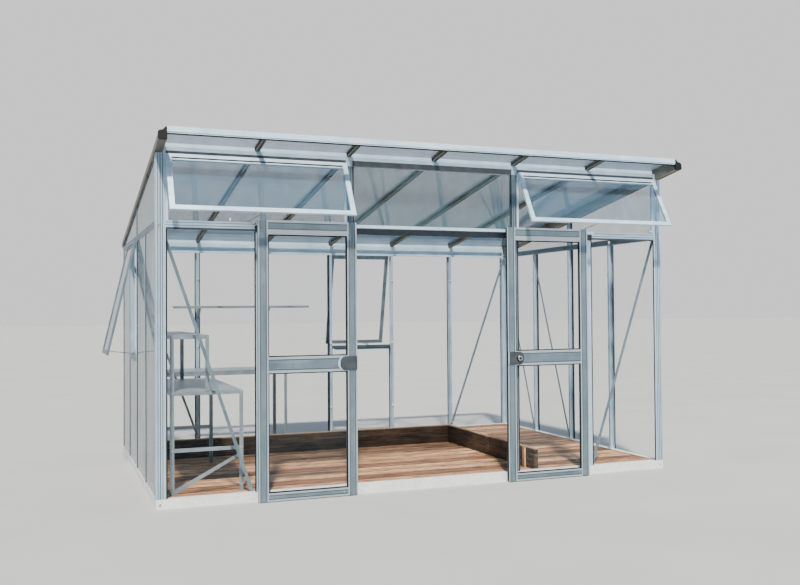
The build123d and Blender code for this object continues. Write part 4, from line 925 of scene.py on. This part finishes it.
# %% Brace bolts
BRACE_DEPTH = 44.6
BRACE_ENDS = [
    (FRONT, [(-1282, 84), (-1838, 1738), (1282, 84), (1838, 1738)]),
    (BACK, [(-1247, 106), (-1838, 1738), (1247, 106), (1838, 1738)]),
    (LEFT, [(628, 106), (1218, 1738)]),
    (RIGHT, [(628, 106), (1218, 1738), (8, 106), (612, 1738)]),
]

bolts = []
for wall, ends in BRACE_ENDS:
    for at, height in ends:
        bolts.append(nut(on_wall(wall, at, BRACE_DEPTH, height), -wall, radius=6.5))
settle(gather(bolts), "brace_bolts", zinc_steel)

# %% [markdown]
# The kick rails of the leaves have a screw near each end, a dark head with a bright socket in the
# photograph. A second, smaller head is set in the first one for the bright spot.

# %% Kick rail screws
SCREW_IN = 90.0
SCREW_APART = 480.0
SCREW_HEIGHT = 22.0

for leaf, x in LEAVES.items():
    head((x + SCREW_IN, -LEAF_FACE, SCREW_HEIGHT), FRONT, radius=7.0, height=1.2, sides=12, socket=0.55,
         depth=1.4)
    settle(repeat([(SCREW_APART, 0, 0)]), leaf + "_screws", dull_steel, leaf)
    head((x + SCREW_IN, -LEAF_FACE - 0.2, SCREW_HEIGHT), FRONT, radius=3.2, height=1.0, sides=8, socket=0.5,
         depth=0.4)
    settle(repeat([(SCREW_APART, 0, 0)]), leaf + "_screw_tips", zinc_steel, leaf)

# %% [markdown]
# Each lock is a dark plate with a bright edge, a painted highlight in pale aluminium, which runs round the
# rounded end on the left leaf and along the square end on the right one. A plate is a thin block whose
# two corners at one end are bevelled in many steps, which makes them round.

# %% Lock plates
LOCK_Z = (reach("door_left_lock", "Z", 0) + reach("door_left_lock", "Z")) / 2
LOCK_FRONT = reach("door_left_lock", "Y", 0)
PLATE = 1.2
ON_LEAF = -LEAF_FACE - 0.1


def rounded_plate(square, rounded, radius, front, back, half_height):
    """An upright plate on the front of a leaf, from its square end to its rounded one."""
    plate = block((square, front, LOCK_Z - half_height), (rounded, back, LOCK_Z + half_height))
    ease(radius, 8, lambda middle, way: abs(way.y) > 0.9 and abs(middle.x - rounded) < 1)
    ease(0.4, 1, lambda middle, way: middle.y < front + 0.01)
    return plate


cover = rounded_plate(-595.5, -712, radius=36, front=LOCK_FRONT - PLATE, back=LOCK_FRONT, half_height=46)
settle(cover, "door_left_lock_cover", grey_plastic, "door_left")
# The bright crescent is a painted highlight round the rounded end of the plate.
crescent = rounded_plate(-650, -726, radius=42, front=LOCK_FRONT + 0.4, back=ON_LEAF, half_height=45)
settle(crescent, "door_left_lock_highlight", aluminium["sunlit", "upright"], "door_left")
cover = rounded_plate(525.5, 651, radius=38, front=LOCK_FRONT - PLATE, back=LOCK_FRONT, half_height=46)
backing = rounded_plate(580, 650, radius=37, front=LOCK_FRONT, back=ON_LEAF, half_height=45)
settle(gather([cover, backing]), "door_right_lock_cover", grey_plastic, "door_right")
# The bright strip is a painted highlight along the left edge of the plate.
edge = rounded_plate(532, 525.3, radius=2, front=LOCK_FRONT - 2, back=LOCK_FRONT - PLATE, half_height=44)
settle(edge, "door_right_lock_highlight", aluminium["sunlit", "upright"], "door_right")

# %% [markdown]
# The right leaf has a turned knob with a keyhole. The knob's cap is modelled as a short cylinder over
# the CAD knob, whose face is stepped by insets, as a lathe would leave it, with a groove round its side.
# The rosette behind it and the keyhole on it are flatter heads of the same kind.

# %% Knob
KNOB_X = 613.0
SLEEVE = 16.2
GROOVE_Y = LOCK_FRONT - 8.0

rosette = head((KNOB_X, LOCK_FRONT, LOCK_Z), FRONT, radius=21.5, height=2.5, sides=32, socket=0.75, depth=0.3)
settle(rosette, "door_right_knob_rosette", black_plastic, "door_right", smooth=40.0)
sleeve = head((KNOB_X, LOCK_FRONT, LOCK_Z), FRONT, radius=17.0, height=SLEEVE, sides=32, socket=0.62,
              depth=1.0)
pick(lambda middle, normal: abs(normal.y) < 0.2 and abs(middle.y - GROOVE_Y) < 3)
bpy.ops.mesh.inset(thickness=2.2 * MM, depth=-0.5 * MM, use_boundary=True)
settle(sleeve, "door_right_knob_cap", zinc_steel, "door_right", smooth=40.0)
keyhole = head((KNOB_X + 1, LOCK_FRONT - 18, LOCK_Z - 1), FRONT, radius=8.5, height=0.8, sides=16, socket=0.5,
               depth=0.8)
settle(keyhole, "door_right_keyhole", black_plastic, "door_right", smooth=40.0)

# %% [markdown]
# The staging and the bench are bolted together from light angle. Each joint of a leg and a rail shows
# one rounded bolt head on its outer face. Those of the front legs and those of the right-hand legs face
# different ways, so each group is copied from a head of its own.

# %% Staging and bench bolts
LEG_FRONT = reach("staging_legs", "Y", 0)
LEG_LEFT = reach("staging_legs", "X", 0)
LEG_RIGHT = reach("staging_legs", "X")
IN_LEG = 13.0
LOW_BOLT = 332.0
SHELF_UP = 360.0
STEP_UP = 718.0
FOOT_DOWN = 240.0
STAGING_WIDE = 440.0
STEP_IN = 222.0
STAGING_DEEP = 1154.0
BENCH_LONG = 1216.0
BENCH_BOLT = 690.0
IN_BENCH_LEG = 12.0
leg_bolt = {"radius": 5.5, "height": 2.0}

head((LEG_LEFT + IN_LEG, LEG_FRONT, LOW_BOLT), FRONT, **leg_bolt)
front_bolts = repeat([(STAGING_WIDE, 0, 0), (0, 0, SHELF_UP), (STAGING_WIDE, 0, SHELF_UP), (0, 0, STEP_UP),
                      (STEP_IN, 0, STEP_UP), (STAGING_WIDE, 0, -FOOT_DOWN)])
head((LEG_RIGHT, LEG_FRONT + IN_LEG, LOW_BOLT), RIGHT, **leg_bolt)
side_bolts = repeat([(0, STAGING_DEEP, 0), (0, 0, SHELF_UP), (0, STAGING_DEEP, SHELF_UP)])
settle(gather([front_bolts, side_bolts]), "staging_bolts", zinc_steel)

bench_joint = (reach("bench_legs", "X", 0) + IN_BENCH_LEG, reach("bench_rails", "Y", 0), BENCH_BOLT)
head(bench_joint, FRONT, **leg_bolt)
settle(repeat([(BENCH_LONG, 0, 0)]), "bench_bolts", zinc_steel)

# %% [markdown]
# Where two planks of the bed edge meet, a short lath is screwed over the joint, and the planks are
# screwed to each other at the corner. The lath is rough sawn, so its edges are broken unevenly. A
# planed batten, chamfered at its top, stands nearer the doors.

# %% Lath, batten and screws on the bed boards
PLANK = 30.0
BED_FACE = reach("bed_boards", "X") - PLANK
BED_FRONT = reach("bed_boards", "Y") - PLANK
LATH_LOW = DECK_TOP + 2.0
LATH_TOP = BED_TOP - 4.0
LATH_SIDES = (-492.0, -434.0)
LATH_THICK = 8.0
BATTEN_SIDES = (-1088.0, -1052.0)
BATTEN_THICK = 12.0

lath = block((BED_FACE - LATH_THICK, LATH_SIDES[0], LATH_LOW), (BED_FACE, LATH_SIDES[1], LATH_TOP))
ease(1.5, 2)
pick(lambda middle, way: abs(way.z) > 0.9, "EDGE")
bpy.ops.mesh.subdivide(number_cuts=5)
pick(lambda middle, way: middle.x < BED_FACE - LATH_THICK + 1 and round(middle.z / 24) % 2 == 0, "EDGE")
bpy.ops.transform.translate(value=(-0.6 * MM, 0, 0))
settle(lath, "bed_lath", plank_wood)
batten = block((BED_FACE - BATTEN_THICK, BATTEN_SIDES[0], LATH_LOW), (BED_FACE, BATTEN_SIDES[1], LATH_TOP))
ease(1.5, 2)
pick(lambda middle, way: abs(way.y) > 0.9 and middle.z > LATH_TOP - 1, "EDGE")
bpy.ops.mesh.bevel(offset=3 * MM, segments=2)
settle(batten, "bed_batten", post_wood)
head((BED_FACE - LATH_THICK, -478, 90), LEFT, radius=4.0, height=0.8, sides=8)
lath_screws = repeat([(0, 30, 0), (0, 0, 76), (0, 30, 76)])
head((805, BED_FRONT - 0.1, 85), FRONT, radius=4.0, height=0.8, sides=8)
corner_screws = repeat([(-40, 0, 0), (0, 0, 88)])
settle(gather([lath_screws, corner_screws]), "bed_screws", dull_steel)

# %% [markdown]
# The threshold is screwed down through its flat top, one screw every 270 mm. At each front corner a
# hexagon bolt holds the post to the base, and a round one holds the rail to the post. The lower pair
# and the upper pair differ, so each is copied from its own head to the other corner.

# %% Threshold screws and corner bolts
SCREW_STEP = 270.0
BASE_BOLT = 1855.0
RAIL_BOLT = 1865.0

head((-1080, -1285, BASE_TOP), (0, 0, 1), radius=5.0, height=1.0, sides=12)
settle(repeat([(SCREW_STEP * n, 0, 0) for n in range(1, 9)]), "threshold_screws", zinc_steel)
head((-BASE_BOLT, -WALL_Y, 29), FRONT, radius=8.0, height=3.5, sides=6, socket=0.5, depth=0.5)
base_bolts = repeat([(2 * BASE_BOLT, 0, 0)])
head((-RAIL_BOLT, -WALL_Y, RAIL_LOW + 11), FRONT, radius=7.0, height=3.0, sides=12, socket=0.5, depth=0.8)
rail_bolts = repeat([(2 * RAIL_BOLT, 0, 0)])
settle(gather([base_bolts, rail_bolts]), "corner_bolts", zinc_steel)

# %% [markdown]
# A few small fittings show along the rail: a white peg on top of it at the left, a clip at the end of
# its left-hand seal, and a light block near the right corner, all of which hold glass in place. A
# white washer shows on the inner face of the right wall's rail. At the back, three small screws hold
# the end of the sill below the open vent. The flat ones are blocks with eased edges, and the round ones
# are heads.

# %% Glass clips and pegs
peg = block((-1424, -1262, 1790), (-1414, -1254, 1810))
ease(2.5, 3)
settle(peg, "rail_peg", white_plastic)
clip = block((-1252, -1262.5, 1731), (-1226, -1260.2, 1782))
crown(FRONT, 3.0, 0.8)
ease(0.5, 2)
clip_foot = block((-1250, -1262, 1731), (-1228, -1257, 1737))
ease(0.8, 2)
# The clip takes the aluminium with painted sunlight.
settle(gather([clip, clip_foot]), "rail_clip", aluminium["sunlit", "upright"])
head(on_wall(BACK, 26, CHANNEL, 850), FRONT, radius=3.5, height=1.5)
settle(repeat([(0, 0, 15), (0, 0, 30)]), "sill_screws", zinc_steel)
stop_block = block((1779, -1259, 1792), (1809, -1240, 1817))
crown(FRONT, 4.0, -1.5)
ease(1.0, 2)
# The block takes the aluminium with painted sunlight.
settle(stop_block, "glass_block", aluminium["sunlit", "upright"])
washer = head(on_wall(RIGHT, -640, CHANNEL, 1762), LEFT, radius=12.5, height=3.0, sides=24, socket=0.4,
              depth=0.8)
settle(washer, "white_washer", white_plastic, smooth=40.0)

# %% [markdown]
# Each stay ends in a dark knob that tightens it, a turned cylinder with a stepped face. It stands on
# the stay's foot, on the sill side that faces into the greenhouse.

# %% Stay knobs
KNOBS_APART = 2464.0

head((-1292, -1238, 1796), BACK, radius=8.0, height=12.0, sides=16, socket=0.5, depth=2.0)
settle(repeat([(KNOBS_APART, 0, 0)]), "stay_knobs", black_plastic, smooth=40.0)

# %% [markdown]
# All the small pieces are finished. A count shows how heavy they are, and which one is the heaviest.

# %% Count
print(len(weights), "pieces,", sum(weights.values()), "triangles, most in", max(weights, key=weights.get))

# %% [markdown]
# The studio is plain: a pale floor, pale walls behind the greenhouse, and a darker, bluer room in
# front of it, which is what the metal facing the camera mirrors. The room could be modelled, but only
# its light is needed, so it is a background whose colour changes with the direction. Its dark end lies
# at the front and a little to the left, behind the camera.

# %% Studio room and floor
ROOM = [(0.0, "#4F6680"), (0.45, "#7B90A5"), (0.8, "#FFFFFF")]
CEILING = "#A6C4E2"
CEILING_START = 0.35
CEILING_FULL = 0.9
ROOM_TURN = 0.6
ROOM_REACH = 1.16
FLOOR_SIZE = 160.0
FLOOR_PATCH = 900.0

world = bpy.data.worlds.new("studio")
bpy.context.scene.world = world
world.use_nodes = True
room = world.node_tree
direction = add(room, "ShaderNodeTexCoord").outputs["Generated"]
parts = add(room, "ShaderNodeSeparateXYZ", {"Vector": direction})
away = add(room, "ShaderNodeMath", {0: parts.outputs["X"], 1: ROOM_TURN, 2: parts.outputs["Y"]},
           operation="MULTIPLY_ADD")
behind = add(room, "ShaderNodeMapRange", {"Value": away, "From Min": -ROOM_REACH, "From Max": ROOM_REACH})
walls = add(room, "ShaderNodeValToRGB", {"Fac": behind}, ROOM)
above = add(room, "ShaderNodeMapRange", {"Value": parts.outputs["Z"], "From Min": CEILING_START,
                                         "From Max": CEILING_FULL})
walls = add(room, "ShaderNodeMix", {"Factor": above, "A": walls, "B": linear(CEILING)}, data_type="RGBA")
feed(room, room.nodes["Background"], {"Color": walls, "Strength": 1.0})

bpy.ops.mesh.primitive_plane_add(size=FLOOR_SIZE, location=(0, 0, 0))
floor = bpy.context.object
floor.name = "studio_floor"
floor_material, tree, shader, place = start_material("pale_floor")
speck = add(tree, "ShaderNodeTexNoise", {"Vector": place, "Scale": per_mm(FLOOR_PATCH), "Detail": 3.0})
paint = add(tree, "ShaderNodeValToRGB", {"Fac": speck}, [(0.3, "#A5A8A9"), (0.7, "#ACAFB0")])
feed(tree, shader, {"Base Color": paint, "Roughness": 0.85})
floor.data.materials.append(floor_material)
print("studio floor", FLOOR_SIZE, "m wide")

# %% [markdown]
# One strong lamp stands high at the front and a little to the left, where the light came from in the
# photograph, and it is a few degrees wide, so that its shadows have soft edges. A large soft lamp fills
# in from the right. It is aimed at a point one metre above the middle of the floor.

# %% Lamps
KEY_FROM = (-0.192, -0.577, 0.794)
KEY_WIDTH = 4.0
FILL_PLACE = (7.0, -6.0, 4.0)
FILL_AIM = (0.0, 0.0, 1.0)
FILL_SIZE = 5.0


def lamp(name, kind, code, energy, shines_from, place=(0, 0, 0)):
    """A lamp of one colour and strength, turned so that its light comes from a direction."""
    light = bpy.data.lights.new(name, kind)
    light.energy = energy
    light.color = linear(code)[:3]
    holder = bpy.data.objects.new(name, light)
    bpy.context.scene.collection.objects.link(holder)
    holder.location = place
    holder.rotation_euler = Vector(shines_from).to_track_quat("Z", "Y").to_euler()
    return light


key = lamp("key", "SUN", "#FFF4E4", 9.0, KEY_FROM)
key.angle = radians(KEY_WIDTH)
fill = lamp("fill", "AREA", "#E8F0FF", 160.0, Vector(FILL_PLACE) - Vector(FILL_AIM), FILL_PLACE)
fill.shape = "SQUARE"
fill.size = FILL_SIZE
print("a key lamp and a fill lamp")
